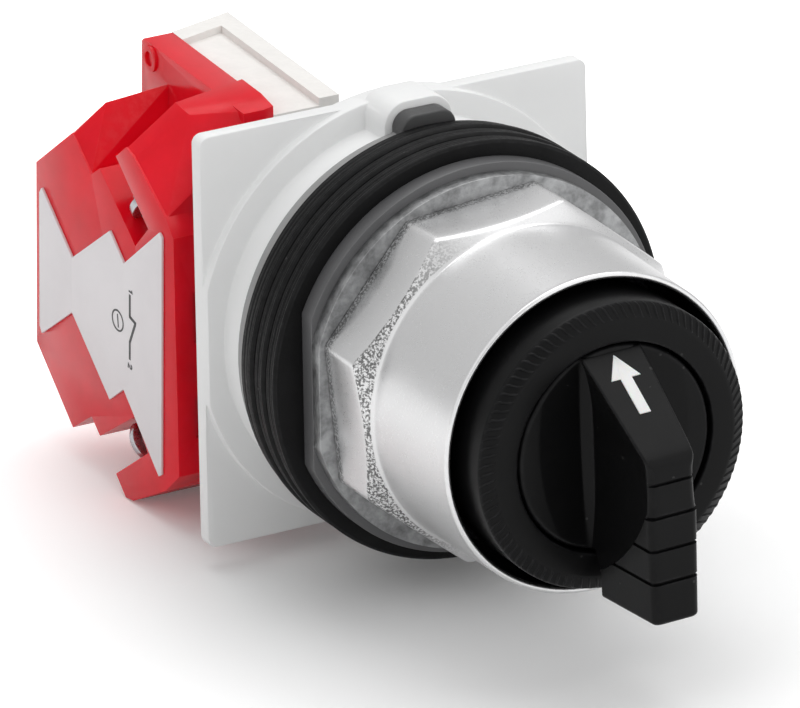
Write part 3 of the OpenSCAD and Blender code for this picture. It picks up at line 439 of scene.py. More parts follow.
def solid_finish(
    name,
    base,
    other,
    rough,
    rough_swing=0.06,
    grain=(4000.0, 300.0, 0.6),
    relief=(0.05, 0.02 * MM),
    drift=(120.0, 0.5),
    wear_and_highlight=None,
    specks=None,
    rings=None,
    outer=None,
    cast=None,
    inside=None,
    **constants,
):
    """Colour drift, grain, worn edges with a painted highlight, specks and masks over one plain shader; the
    masks also lay painted shade and painted dark reflections.

    other: the drift's second colour, or a factor on the base
    grain: fine scale, broad scale, share of the fine one
    relief: strength and depth of the bump
    drift: scale, amount
    wear_and_highlight: amount of worn edges with a painted highlight, and their colour or a factor on the base
    specks: scale, colour
    rings: pitch, 1 for rings one behind another or 0 for rings one inside another, share in the relief
    outer: colour beyond a radius, and that radius
    cast, inside: colours laid on by the piece's own attributes of those names; on the ring nut, cast paints
    dark reflections on the cone's left and darkens the rear edge, and inside paints shade in the skirt
    """
    material, tree, shader = new_material(name, **constants)
    colours = {"Colour": (*base, 1.0), "Other_Colour": (*toned(base, other), 1.0)}
    tone = use(tree, "Colour drift", Scale=drift[0], Amount=drift[1], **colours)["Colour"]
    fine, broad, fine_share = grain
    grained = use(tree, "Surface grain", Fine_Scale=fine, Broad_Scale=broad, Fine_Share=fine_share)
    # worn edges, lightened further by a painted highlight
    if wear_and_highlight:
        worn_and_lit = use(tree, "Edge wear", Amount=wear_and_highlight[0], Breakup_Scale=WEAR_AND_HIGHLIGHT_SCALE)["Mask"]
        tone = mix_colour(tree, worn_and_lit, tone, toned(base, wear_and_highlight[1]))
    if specks:
        dots = use(tree, "Dust specks", Scale=specks[0], Size=SPECK_SIZE)["Mask"]
        tone = mix_colour(tree, dots, tone, specks[1])
    if outer:
        beyond = remap(tree, radius_at(tree), outer[1], outer[1] + 0.1 * MM, 0.0, 1.0)
        tone = mix_colour(tree, beyond, tone, outer[0])
    # painted dark reflections, and a darker rear edge, where the piece's cast attribute says
    if cast:
        dark_patch_breakup = remap(tree, noise(tree, DARK_PATCH_SCALE, 2.0, 0.7), 0.44, 0.54, 0.0, 1.0)
        tone = mix_colour(tree, maths(tree, "MULTIPLY", attribute(tree, "cast"), dark_patch_breakup), tone, cast)
    # painted shade where the piece's inside attribute says
    if inside:
        tone = mix_colour(tree, attribute(tree, "inside"), tone, inside)
    tree.links.new(tone, shader.inputs["Base Color"])
    swing = remap(tree, grained["Mask"], 0.0, 1.0, rough - rough_swing, rough + rough_swing)
    tree.links.new(swing, shader.inputs["Roughness"])
    height = grained["Height"]
    if rings:
        pitch, along, share = rings
        lines = use(tree, "Fine rings", Pitch=pitch, Along_Axis=along, Raggedness=RING_RAGGEDNESS)["Height"]
        height = maths(tree, "ADD", height, maths(tree, "MULTIPLY", lines, share))
    bump = add(tree, "ShaderNodeBump", None, {"Strength": relief[0], "Distance": relief[1], "Height": height})
    tree.links.new(bump.outputs["Normal"], shader.inputs["Normal"])
    return material


def build_materials(f):
    """One material for each of the record's slots, and one for the label's ink."""
    lug_root = reach_of("locating_ring") + 0.1 * MM
    return {
        # The edge colours below lighten convex edges: worn edges with a painted highlight.
        "black_plastic": solid_finish(
            "Black moulded plastic", f.black, 1.6, 0.34, 0.05, grain=(5200.0, 420.0, 0.6),
            relief=(0.22, 0.04 * MM), wear_and_highlight=(0.6, 6.0), specks=(520.0, grey(0.03)), Specular_IOR_Level=0.14,
            IOR=1.5
        ),
        "black_rubber": solid_finish(
            "Black gasket rubber", f.rubber, 2.4, 0.48, 0.08, grain=(2600.0, 500.0, 0.6),
            relief=(0.6, 0.06 * MM), wear_and_highlight=(0.5, 6.0), specks=(600.0, grey(0.04)), rings=(0.61 * MM, 1.0, 1.2),
            Specular_IOR_Level=0.14
        ),
        # on the nut, the cast colour paints dark reflections and a darker rear edge, and the inside colour
        # paints shade
        "bright_chrome": solid_finish(
            "Bright chrome over cast zinc", f.chrome, 0.92, 0.3, 0.03, grain=(5200.0, 500.0, 0.8),
            relief=(0.2, 0.02 * MM), drift=(90.0, 0.4), wear_and_highlight=(0.5, grey(0.96)), cast=grey(0.17),
            inside=(0.012, 0.012, 0.013), Metallic=1.0
        ),
        "rough_zinc": solid_finish(
            "Cast zinc", f.zinc, 0.42, 0.46, 0.12, grain=(1500.0, 420.0, 0.45), relief=(0.9, 0.1 * MM),
            drift=(620.0, 0.95), wear_and_highlight=(0.2, grey(0.7)), Metallic=1.0
        ),
        "dark_steel": solid_finish(
            "Grey thrust washer", f.fibre, 0.8, 0.38, 0.05, grain=(3000.0, 260.0, 0.6),
            relief=(0.2, 0.03 * MM), wear_and_highlight=(0.35, 1.8)
        ),
        "steel": solid_finish(
            "Turned steel", f.steel, 0.85, 0.3, 0.07, relief=(0.25, 0.03 * MM), wear_and_highlight=(0.4, (0.8, 0.8, 0.82)),
            rings=(0.3 * MM, 0.0, 0.5), Metallic=1.0
        ),
        "brass": solid_finish(
            "Contact brass", f.brass, 0.75, 0.32, 0.08, relief=(0.2, 0.02 * MM), wear_and_highlight=(0.4, 2.0),
            Metallic=1.0
        ),
        "grey_polymer": solid_finish(
            "Grey locating ring", f.ring, 0.7, 0.42, grain=(3000.0, 300.0, 0.6), relief=(0.3, 0.04 * MM),
            outer=(f.lug, lug_root)
        ),
        "white_plastic": solid_finish(
            "White moulded plastic", f.arrow, 0.92, 0.38, 0.05, relief=(0.2, 0.03 * MM),
            Subsurface_Weight=0.15, Subsurface_Scale=0.6 * MM
        ),
        "cam_polymer": solid_finish(
            "Cream cam plastic", f.cream, (0.55, 0.46, 0.27), 0.4, relief=(0.2, 0.02 * MM),
            Subsurface_Weight=0.1, Subsurface_Scale=0.6 * MM
        ),
        "label_film": solid_finish(
            "White label film", f.label, 0.93, 0.42, 0.05, grain=(6000.0, 200.0, 0.6),
            relief=(0.15, 0.02 * MM), drift=(160.0, 0.6)
        ),
        "milky_nylon": solid_finish(
            "Milky nylon", f.milky, 0.94, 0.4, grain=(2200.0, 150.0, 0.35), relief=(0.3, 0.06 * MM),
            drift=(70.0, 0.55), wear_and_highlight=(0.35, grey(0.95)), Subsurface_Weight=0.2, Subsurface_Radius=grey(1.0),
            Subsurface_Scale=1.2 * MM, Transmission_Weight=0.08, IOR=1.5
        ),
        "red_clear_plastic": solid_finish(
            "Translucent red plastic", f.red, (0.64, 0.0, 0.006), 0.2, 0.05, grain=(1800.0, 160.0, 0.25),
            relief=(0.25, 0.08 * MM), drift=(130.0, 0.55), wear_and_highlight=(0.5, (0.95, 0.12, 0.13)),
            Subsurface_Weight=0.35, Subsurface_Radius=(1.0, 0.06, 0.05), Subsurface_Scale=2.2 * MM,
            Transmission_Weight=0.18, Specular_IOR_Level=0.16, IOR=1.5
        ),
        "clear_plastic": solid_finish(
            "Clear moulded plastic", f.clear, 0.9, 0.16, 0.08, grain=(900.0, 220.0, 0.5),
            relief=(0.6, 0.2 * MM), drift=(420.0, 0.5), wear_and_highlight=(0.5, (0.95, 0.93, 0.9)),
            Transmission_Weight=0.1, IOR=1.45
        ),
        "ink": solid_finish("Dark label ink", f.ink, grey(0.09), 0.5, relief=(0.1, 0.02 * MM)),
    }


MATERIALS = {}


# Helpers for meshes and finished pieces.


def grid_mesh(name, points, caps=True):
    """A mesh over rows of points, rows x columns x 3, whose last column joins the first."""
    rows, columns = points.shape[:2]
    faces = []
    for i in range(rows - 1):
        for k in range(columns):
            a, b = i * columns + k, i * columns + (k + 1) % columns
            faces.append((a, b, b + columns, a + columns))
    if caps:
        faces.append(tuple(range(columns))[::-1])
        faces.append(tuple((rows - 1) * columns + k for k in range(columns)))
    mesh = bpy.data.meshes.new(name)
    mesh.from_pydata(points.reshape(-1, 3).tolist(), [], faces)
    mesh.update()
    return mesh


def outward(mesh):
    """Merges doubles and turns all faces outwards."""
    bm = bmesh.new()
    bm.from_mesh(mesh)
    bmesh.ops.remove_doubles(bm, verts=bm.verts, dist=1e-6)
    bmesh.ops.recalc_face_normals(bm, faces=bm.faces)
    bm.to_mesh(mesh)
    bm.free()
    return mesh


def circle(steps):
    """Angles of equal steps round the switch axis."""
    return np.linspace(0, 2 * math.pi, steps, endpoint=False)


def ring(radius, station, angles):
    """A row of points round the switch axis. Radius and station may change with the angle."""
    x, z = radius * np.cos(angles), radius * np.sin(angles)
    return np.stack([x, np.broadcast_to(station, angles.shape), z], 1)


def lathe(name, profile, steps):
    """Turns a closed (radius, station) outline about the switch axis."""
    rows = [ring(r, y, circle(steps)) for r, y in [*profile, profile[0]]]
    return outward(grid_mesh(name, np.array(rows), caps=False))


def joined(name, meshes):
    """One mesh of several."""
    bm = bmesh.new()
    for part in meshes:
        bm.from_mesh(part)
    mesh = bpy.data.meshes.new(name)
    bm.to_mesh(mesh)
    bm.free()
    return mesh


def rounded(profile, radius, steps=4):
    """Rounds the corners of a closed (radius, station) outline."""
    made = []
    count = len(profile)
    for i, corner in enumerate(profile):
        p, a, b = Vector(corner), Vector(profile[i - 1]), Vector(profile[(i + 1) % count])
        before, after = a - p, b - p
        reach = min(radius, before.length * 0.45, after.length * 0.45)
        start, end = p + before.normalized() * reach, p + after.normalized() * reach
        for k in range(steps + 1):
            t = k / steps
            made.append(tuple((1 - t) ** 2 * start + 2 * t * (1 - t) * p + t**2 * end))
    return made


def link(name, mesh):
    made = bpy.data.objects.new(name, mesh)
    bpy.context.scene.collection.objects.link(made)
    return made


def settle(obj):
    """Turns the evaluated object into a plain mesh and drops its modifiers."""
    bpy.context.view_layer.update()
    graph = bpy.context.evaluated_depsgraph_get()
    shaped = obj.evaluated_get(graph)
    mesh = bpy.data.meshes.new_from_object(shaped, preserve_all_data_layers=True, depsgraph=graph)
    obj.modifiers.clear()
    obj.data = mesh
    return obj


def store(mesh, name, values):
    """Stores one value for each point of a mesh."""
    layer = mesh.attributes.get(name) or mesh.attributes.new(name, "FLOAT", "POINT")
    layer.data.foreach_set("value", values)


def mark_edges(mesh):
    """Stores how sharply the surface bends outwards at each point, for worn edges with a painted highlight."""
    mildest, sharpest = 500.0, 4000.0
    bm = bmesh.new()
    bm.from_mesh(mesh)
    values = np.zeros(len(bm.verts), np.float32)
    for edge in bm.edges:
        if len(edge.link_faces) != 2:
            continue
        a, b = edge.link_faces
        gap = (a.calc_center_median() - b.calc_center_median()).length
        if gap < 1e-7:
            continue
        bend = edge.calc_face_angle_signed(0.0) / gap
        share = min(1.0, max(0.0, (bend - mildest) / (sharpest - mildest)))
        for v in edge.verts:
            values[v.index] = max(values[v.index], share)
    bm.free()
    store(mesh, "edge", values)


def finish_piece(obj, body, slot, nodes, smooth=35.0, material=None):
    """Shading, material and body of a finished piece, whose material is its slot's unless one is given. Edges
    sharper than smooth stay sharp.
    """
    mesh = obj.data
    mesh.shade_smooth()
    mesh.set_sharp_from_angle(angle=math.radians(smooth))
    mark_edges(mesh)
    mesh.materials.clear()
    mesh.materials.append(material or MATERIALS[slot])
    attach(obj, body)
    if nodes:
        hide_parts(*nodes)
    return obj


def softened(node, name, width=0.2 * MM, segments=3, sharper=32.0):
    """A copy of a node's solid with its sharper edges rounded, which stands for the node."""
    bm = bmesh.new()
    bm.from_mesh(frame["nodes"][node].data)
    bmesh.ops.remove_doubles(bm, verts=bm.verts, dist=2e-6)
    bmesh.ops.dissolve_limit(bm, angle_limit=math.radians(0.6), verts=bm.verts, edges=bm.edges)
    mesh = bpy.data.meshes.new(name)
    bm.to_mesh(mesh)
    bm.free()
    obj = link(name, mesh)
    bevel = obj.modifiers.new("Round edges", "BEVEL")
    bevel.width = width
    bevel.segments = segments
    bevel.limit_method = "ANGLE"
    bevel.angle_limit = math.radians(sharper)
    bevel.miter_outer = "MITER_ARC"
    return finish_piece(settle(obj), body_of(node), SLOT_OF[node], [node], 40.0)


# Geometry node trees for what repeats.


def new_tree(name, inputs):
    tree = bpy.data.node_groups.new(name, "GeometryNodeTree")
    tree.is_modifier = True
    for label, kind, default in inputs:
        socket = tree.interface.new_socket(name=label, in_out="INPUT", socket_type="NodeSocket" + kind)
        if default is not None:
            socket.default_value = default
    tree.interface.new_socket(name="Geometry", in_out="OUTPUT", socket_type="NodeSocketGeometry")
    return tree, tree.nodes.new("NodeGroupInput").outputs, tree.nodes.new("NodeGroupOutput").inputs


def close_tree(tree, geometry, material, out):
    """Ends a tree with real geometry that carries the material."""
    real = add(tree, "GeometryNodeRealizeInstances", None, {"Geometry": geometry}).outputs[0]
    dressed = add(tree, "GeometryNodeSetMaterial", None, {"Geometry": real, "Material": material}).outputs[0]
    tree.links.new(dressed, out["Geometry"])


def copies(tree, given):
    """Makes the given number of instances of a shape."""
    one = add(tree, "GeometryNodeGeometryToInstance", None, {"Geometry": given["Geometry"]}).outputs[0]
    inputs = {"Geometry": one, "Amount": given["Count"]}
    return add(tree, "GeometryNodeDuplicateElements", {"domain": "INSTANCE"}, inputs)


@cache
def round_repeat():
    """Repeats a shape round the switch axis at equal angles."""
    tree, given, out = new_tree(
        "Round repeat",
        [
            ("Geometry", "Geometry", None),
            ("Count", "Int", 12),
            ("Start", "Float", 0.0),
            ("Material", "Material", None),
        ],
    )
    many = copies(tree, given)
    step = maths(tree, "DIVIDE", 2 * math.pi, given["Count"])
    angle = maths(tree, "MULTIPLY_ADD", many.outputs["Duplicate Index"], step, given["Start"])
    turn = add(tree, "ShaderNodeCombineXYZ", None, {1: angle}).outputs[0]
    turned = add(
        tree,
        "GeometryNodeRotateInstances",
        None,
        {"Instances": many.outputs[0], "Rotation": turn, "Pivot Point": (0, 0, 0), "Local Space": False},
    ).outputs[0]
    close_tree(tree, turned, given["Material"], out)
    return tree


@cache
def stack_repeat():
    """Repeats a ring along the switch axis, every second one a little smaller."""
    tree, given, out = new_tree(
        "Stack repeat",
        [
            ("Geometry", "Geometry", None),
            ("Count", "Int", 5),
            ("Pitch", "Float", 0.0012),
            ("Small Share", "Float", 0.98),
            ("Material", "Material", None),
        ],
    )
    many = copies(tree, given)
    index = many.outputs["Duplicate Index"]
    shift = maths(tree, "MULTIPLY", maths(tree, "MULTIPLY", index, given["Pitch"]), -1.0)
    moved = add(
        tree,
        "GeometryNodeTranslateInstances",
        None,
        {
            "Instances": many.outputs[0],
            "Translation": add(tree, "ShaderNodeCombineXYZ", None, {1: shift}).outputs[0],
            "Local Space": False,
        },
    ).outputs[0]
    odd = maths(tree, "MODULO", index, 2.0)
    share = maths(tree, "MULTIPLY_ADD", odd, maths(tree, "SUBTRACT", given["Small Share"], 1.0), 1.0)
    scaled = add(
        tree,
        "GeometryNodeScaleInstances",
        None,
        {
            "Instances": moved,
            "Scale": add(tree, "ShaderNodeCombineXYZ", None, {0: share, 1: 1.0, 2: share}).outputs[0],
            "Center": (0, 0, 0),
            "Local Space": False,
        },
    ).outputs[0]
    close_tree(tree, scaled, given["Material"], out)
    return tree


@cache
def wire_coil():
    """A wire wound into a coil along the switch axis."""
    tree, given, out = new_tree(
        "Wire coil",
        [
            ("Turns", "Float", 6.0),
            ("Coil Radius", "Float", 0.0012),
            ("Wire Radius", "Float", 0.0002),
            ("Length", "Float", 0.006),
            ("Centre", "Vector", (0, 0, 0)),
            ("Material", "Material", None),
        ],
    )
    spiral = add(
        tree,
        "GeometryNodeCurveSpiral",
        None,
        {
            "Resolution": 26,
            "Rotations": given["Turns"],
            "Start Radius": given["Coil Radius"],
            "End Radius": given["Coil Radius"],
            "Height": given["Length"],
        },
    ).outputs[0]
    placed = add(
        tree,
        "GeometryNodeTransform",
        None,
        {"Geometry": spiral, "Translation": given["Centre"], "Rotation": (-math.pi / 2, 0, 0)},
    ).outputs[0]
    inputs = {"Resolution": 10, "Radius": given["Wire Radius"]}
    section = add(tree, "GeometryNodeCurvePrimitiveCircle", None, inputs).outputs[0]
    inputs = {"Curve": placed, "Profile Curve": section, "Fill Caps": True}
    wire = add(tree, "GeometryNodeCurveToMesh", None, inputs).outputs[0]
    close_tree(tree, wire, given["Material"], out)
    return tree


def grow(obj, make_tree, **values):
    """Runs one of the trees on a piece and keeps the result as a plain mesh."""
    tree = make_tree()
    modifier = obj.modifiers.new(tree.name, "NODES")
    modifier.node_group = tree
    named = {s.name: s.identifier for s in tree.interface.items_tree if s.in_out == "INPUT"}
    for key, value in values.items():
        modifier[named[key.replace("_", " ")]] = value
    return settle(obj)


# One operator for each piece or group of like pieces.


class BuildMaterials(bpy.types.Operator):
    """Builds the shared groups and one material for each finish"""

    bl_idname = "switch.materials"
    bl_label = "Build materials"

    def execute(self, context):
        build_groups()
        MATERIALS.update(build_materials(context.scene.switch_finishes))
        for node, obj in frame["nodes"].items():
            obj.data.materials.clear()
            obj.data.materials.append(MATERIALS[SLOT_OF[node]])
        return {"FINISHED"}


def soft_max(a, b, k):
    """The larger of two values, blended over a width of about k."""
    return (a + b + np.sqrt((a - b) ** 2 + k * k)) / 2


def soft_min(a, b, k):
    """The smaller of two values, blended over a width of about k."""
    return (a + b - np.sqrt((a - b) ** 2 + k * k)) / 2


FOOT_ROUND = 0.45 * MM
GROOVE_WALL = 0.04 * MM


def lever_levels(s, grooves):
    """Heights of the lever's sections, closer together at its foot, its bend and its grooves."""
    levels = [*np.arange(s.lever_foot + FOOT_ROUND, s.slope_top, 0.28 * MM), s.slope_top]
    levels += [s.lever_foot + FOOT_ROUND * (1 - math.cos(a)) for a in np.radians((0, 20, 40, 60, 80))]
    levels += list(np.arange(s.lever_top - 0.7 * MM, s.lever_top + 0.9 * MM, 0.09 * MM))
    margin = 0.05 * MM
    for low in grooves:
        levels = [z for z in levels if not low - margin < z < low + s.groove_width + margin]
    for low in grooves:
        high = low + s.groove_width
        levels += [low, low + GROOVE_WALL, high - GROOVE_WALL, high]
    return sorted(levels)


def lever_rear(s, z):
    """Rear of the lever at a height: its tip hangs free of the bezel, and a ramp leads into the disc."""
    tip_rear, ramp_low, ramp_high, ramp_rise = -46.3 * MM, -11.8 * MM, -10.1 * MM, 1.8 * MM
    if z < ramp_low:
        return tip_rear
    if z < ramp_high:
        return tip_rear + (z - ramp_low) / (ramp_high - ramp_low) * ramp_rise
    return s.disc_front + 1.0 * MM


def lever_section(s, z, grooves):
    """One level section of the lever, from its right side round the front to its left side."""
    root = s.root_width / 2
    slope = (s.disc_front - s.lever_front) / (s.slope_top - s.lever_top)
    sloped = s.lever_front + (z - s.lever_top) * slope
    near_bend = z > s.lever_top - 3 * MM
    front = float(soft_max(s.lever_front, sloped, 0.8 * MM)) if near_bend else s.lever_front
    down = min(1, max(0, (s.lever_top - z) / (s.lever_top - s.lever_foot)))
    tip = (s.tip_width - s.tip_taper * down) / 2
    cut = any(low + GROOVE_WALL / 2 < z < low + s.groove_width - GROOVE_WALL / 2 for low in grooves)
    back = max(lever_rear(s, z), front + 0.2 * MM)
    in_foot = max(0.0, s.lever_foot + FOOT_ROUND - z)
    shrink = FOOT_ROUND - math.sqrt(max(0.0, FOOT_ROUND**2 - in_foot**2))
    slope_round = 0.35 * MM
    edge = slope_round + (s.edge_round - slope_round) * min(1, max(0, (s.lever_top - z) / (1.2 * MM)))

    reach = s.hollow_radius**2 - (z - s.hollow_height) ** 2
    bound = s.hollow_station - math.sqrt(reach) if reach > 0 else back
    bound = min(max(bound, front + edge), back)
    stations = [back + (bound - back) * (1 - (1 - t) ** 1.6) for t in np.linspace(0, 1, 26)]
    before = (0.02, 0.06, 0.12, 0.25, 0.4, 0.55, 0.7, 0.85, 1.0)
    stations += [bound + (front + edge - bound) * t for t in before]
    half = []
    for y in stations:
        width = tip + (root - tip) * (y - s.lever_front) / (s.disc_front - s.lever_front)
        inside = s.hollow_radius - math.hypot(y - s.hollow_station, z - s.hollow_height)
        below = (y - sloped) / math.sqrt(1 + slope**2)
        if inside > 1e-9 and below > 0:
            deep = (1 - math.exp(-inside / (4.5 * MM))) * (1 - math.exp(-below / (2.2 * MM)))
            rim = 0.12 * MM
            width -= rim * min(1, inside / rim) * min(1, below / (0.3 * MM)) + s.hollow_depth * deep
        elif cut:
            width -= s.groove_depth * 0.8
        half.append([width - shrink, y])
    corner = half[-1][0]
    nose = front + (s.groove_depth if cut else 0.0) + shrink
    for a in np.radians(np.linspace(15, 90, 6)):
        half.append([corner - edge * (1 - math.cos(a)), front + edge - (front + edge - nose) * math.sin(a)])
    half += [[half[-1][0] * t, nose] for t in (0.66, 0.33, 0.0)]
    return [[x, y, z] for x, y in half + [[-x, y] for x, y in half[-2::-1]]]


def lever_mesh(s):
    """Level sections of the lever, from its foot up the sloping face, joined into one skin."""
    grooves = [s.lever_top - 2.4 * MM - i * s.groove_pitch for i in range(s.grooves)]
    rows = [lever_section(s, z, grooves) for z in lever_levels(s, grooves)]
    return outward(grid_mesh("knob_lever", np.array(rows)))


def disc_mesh(s):
    """The knob's disc: a flat face with two sloping scoops and a rounded rim."""
    angles = circle(240)
    flat = s.disc_radius - s.rim_round
    lever_side = 2.4 * MM

    def scooped(r):
        x, z = np.abs(r * np.cos(angles)), r * np.sin(angles)
        gap = s.scoop_radius - np.hypot(x + s.scoop_across, z - s.scoop_height)
        beside = np.clip((x - lever_side) / (1.0 * MM), 0, 1)
        return math.tan(s.scoop_slope) * np.maximum(0, gap) * beside

    rows = [ring(r, s.disc_front + scooped(r), angles) for r in np.linspace(0.02 * MM, flat, 64)]
    for a in np.radians([15, 35, 55, 75, 90]):
        y = s.disc_front + scooped(flat) + s.rim_round * (1 - math.cos(a))
        rows.append(ring(flat + s.rim_round * math.sin(a), y, angles))
    chamfer = 0.2 * MM
    rows.append(ring(s.disc_radius, s.disc_front + 2.0 * MM, angles))
    rows.append(ring(s.disc_radius, s.disc_rear - chamfer, angles))
    rows.append(ring(s.disc_radius - chamfer, s.disc_rear, angles))
    return outward(grid_mesh("knob_disc", np.array(rows)))


class BuildKnob(bpy.types.Operator):
    """Builds the knob's disc and lever, and the white arrow in its sloping face"""

    bl_idname = "switch.knob"
    bl_label = "Build knob"

    def execute(self, context):
        s = context.scene.switch_knob
        mesh = joined("knob_grip", [lever_mesh(s), disc_mesh(s)])
        mesh.transform(Matrix.Rotation(s.turn, 4, "Y"))
        finish_piece(link("knob_grip", mesh), "selector", "black_plastic", ["knob"], 30.0)
        softened("arrow_insert", "arrow_mark", 0.05 * MM, 2)
        return {"FINISHED"}


class BuildBezel(bpy.types.Operator):
    """Builds the bezel ring and its knurl teeth"""

    bl_idname = "switch.bezel"
    bl_label = "Build bezel ring"

    def execute(self, context):
        s = context.scene.switch_bezel
        front, rear = depth_of("bezel_ring")
        profile = [
            (s.bore, front),
            (s.face_radius, front),
            (s.radius, front + s.bevel),
            (s.radius, rear),
            (s.bore, rear),
        ]
        face = link("bezel_face", lathe("bezel_face", rounded(profile, 0.28 * MM), 240))
        finish_piece(face, "operator", "black_plastic", ["bezel_ring"], 30.0)

        across_bevel = s.radius - s.face_radius
        half_tooth = 0.49 * math.pi / s.teeth
        sunk = 0.05 * MM
        ridge = ((-1, 0), (-0.55, 0.55), (-0.2, 0.92), (0.2, 0.92), (0.55, 0.55), (1, 0))
        fades = ((0.02, 0.1), (0.14, 0.8), (0.4, 1.0), (0.75, 1.0), (0.9, 0.6), (0.98, 0.1))
        rows = []
        for i, (t, share) in enumerate(fades):
            turn = s.tooth_slant * (i / (len(fades) - 1) - 0.5)
            section = []
            for across, lift in ridge:
                a = turn + across * half_tooth
                outwards = s.tooth_height * lift * share - sunk
                r = s.face_radius + t * across_bevel + outwards * s.bevel / across_bevel
                section.append([r * math.cos(a), front + t * s.bevel - outwards, r * math.sin(a)])
            rows.append(section)
        tooth = link("bezel_knurl", outward(grid_mesh("bezel_knurl", np.array(rows))))
        grow(tooth, round_repeat, Count=s.teeth, Start=0.01, Material=MATERIALS["black_plastic"])
        finish_piece(tooth, "operator", "black_plastic", [], 50.0)
        return {"FINISHED"}


class BuildNut(bpy.types.Operator):
    """Builds the chromed octagon ring nut with its coned shoulder and long skirt"""

    bl_idname = "switch.nut"
    bl_label = "Build ring nut"

    def execute(self, context):
        s = context.scene.switch_nut
        front, rear = depth_of("ring_nut")
        angles = circle(320)
        eighth = math.radians(45)
        flat_radius = s.corner_radius * math.cos(eighth / 2)
        octagon = np.full(len(angles), 1.0)
        for k in range(8):
            facing = np.maximum(np.cos(angles - s.turn - eighth * (k + 1)), 0.3)
            octagon = soft_min(octagon, np.where(facing > 0.3, flat_radius / facing, 1.0), s.edge_round / 2)
        octagon += s.edge_round / 8

        cone_slope = 1.25
        shoulder = rear - s.flat_depth
        cone_end = shoulder - (s.corner_radius - s.skirt_root) / cone_slope
        lip = s.wall / 2
        mouth = front + lip
        inner = s.skirt_mouth - s.wall
        ledge = rear - 8 * MM
        chamfer = 0.25 * MM
        rear_face = 16.3 * MM
        rows = [ring(s.bore, rear, angles), ring(rear_face, rear, angles)]
        for a in np.radians((0, 30, 60, 90)):
            inset, rise = chamfer * (1 - math.sin(a)), chamfer * (1 - math.cos(a))
            rows.append(ring(octagon - inset, rear - rise, angles))
        stations = [
            *np.linspace(rear - 0.8 * MM, shoulder + 0.9 * MM, 8),
            *np.linspace(shoulder + 0.8 * MM, cone_end - 0.9 * MM, 78),
            *np.linspace(cone_end - 1.2 * MM, mouth, 26),
        ]
        for y in stations:
            t = min(1.0, max(0.0, (cone_end - y) / (cone_end - mouth)))
            skirt = s.skirt_root + (s.skirt_mouth - s.skirt_root) * t
            cone = s.corner_radius + (y - shoulder) * cone_slope
            body = soft_max(soft_min(octagon, cone, s.edge_round), skirt, 0.22 * MM)
            rows.append(ring(body - (0.02 * MM if y < cone_end else 0), y, angles))
        for a in np.radians(np.linspace(15, 180, 12)):
            rows.append(ring(s.skirt_mouth - lip + lip * math.cos(a), mouth - lip * math.sin(a), angles))
        rows += [ring(inner, y, angles) for y in np.linspace(mouth + 0.5 * MM, ledge, 8)]
        rows += [ring(s.bore, ledge + 0.05 * MM, angles), ring(s.bore, rear, angles)]
        nut = link("chrome_nut", outward(grid_mesh("chrome_nut", np.array(rows), caps=False)))
        finish_piece(nut, "operator", "bright_chrome", ["ring_nut"], 50.0)

        # the skirt's inside gets painted shade, a near black colour; the left of the cone gets painted dark
        # reflections as grey patches, and the rear edge is darker
        inside, cast = [], []
        for v in nut.data.vertices:
            r = math.hypot(v.co.x, v.co.z)
            # painted shade on the skirt's inside wall
            inside.append(float(r < inner + 0.05 * MM and v.co.y > mouth + 0.4 * MM))
            # painted dark reflections on the left of the cone
            off_cone = abs(r - s.corner_radius - (v.co.y - shoulder) * cone_slope)
            if off_cone < 0.35 * MM and r > s.skirt_root + 0.3 * MM:
                left = max(0.0, -v.co.x / r - 0.35) / 0.65
                cast.append(min(1.0, 1.6 * left))
            else:
                # the rear edge darker
                cast.append(0.8 * (v.co.y > rear - 0.9 * MM and r > rear_face + 0.2 * MM))
        store(nut.data, "inside", inside)
        store(nut.data, "cast", cast)
        return {"FINISHED"}


class BuildStack(bpy.types.Operator):
    """Builds the gaskets, the washers and the locating ring between plate and nut"""

    bl_idname = "switch.stack"
    bl_label = "Build gasket stack"

    def execute(self, context):
        s = context.scene.switch_stack
        front, rear = depth_of("gasket_2")
        edge, notch = 0.24 * MM, 0.05 * MM
        middle = (front + rear) / 2
        profile = [
            (s.bore, rear),
            (s.bore, front),
            (s.radius - edge, front),
            (s.radius, front + edge),
            (s.radius, middle - notch),
            (s.radius - notch, middle),
            (s.radius, middle + notch),
            (s.radius, rear - edge),
            (s.radius - edge, rear),
        ]
        # the bore's two corners stay sharp
        corner_steps = 3
        outline = profile[:2] + rounded(profile, 0.12 * MM, corner_steps)[2 * (corner_steps + 1) :]
        thin = link("gasket_leaves", lathe("gasket_leaves", outline, 200))
        share = (s.radius - s.step) / s.radius
        rubber = MATERIALS["black_rubber"]
        grow(thin, stack_repeat, Count=s.gaskets, Pitch=rear - front, Small_Share=share, Material=rubber)
        finish_piece(thin, "operator", "black_rubber", [f"gasket_{i}" for i in range(2, 7)], 40.0)
        softened("gasket_1", "gasket_rear", 0.12 * MM, 2, 50.0)
        softened("locating_ring", "grey_ring", 0.2 * MM)
        softened("thrust_washer", "grey_washer", 0.08 * MM)
        softened("trim_washer", "silver_washer", 0.06 * MM)
        return {"FINISHED"}


class BuildPlate(bpy.types.Operator):
    """Builds the milky mounting plate with softened edges"""

    bl_idname = "switch.plate"
    bl_label = "Build mounting plate"

    def execute(self, context):
        softened("mounting_plate", "milky_plate", 0.22 * MM, 3, 30.0)
        return {"FINISHED"}


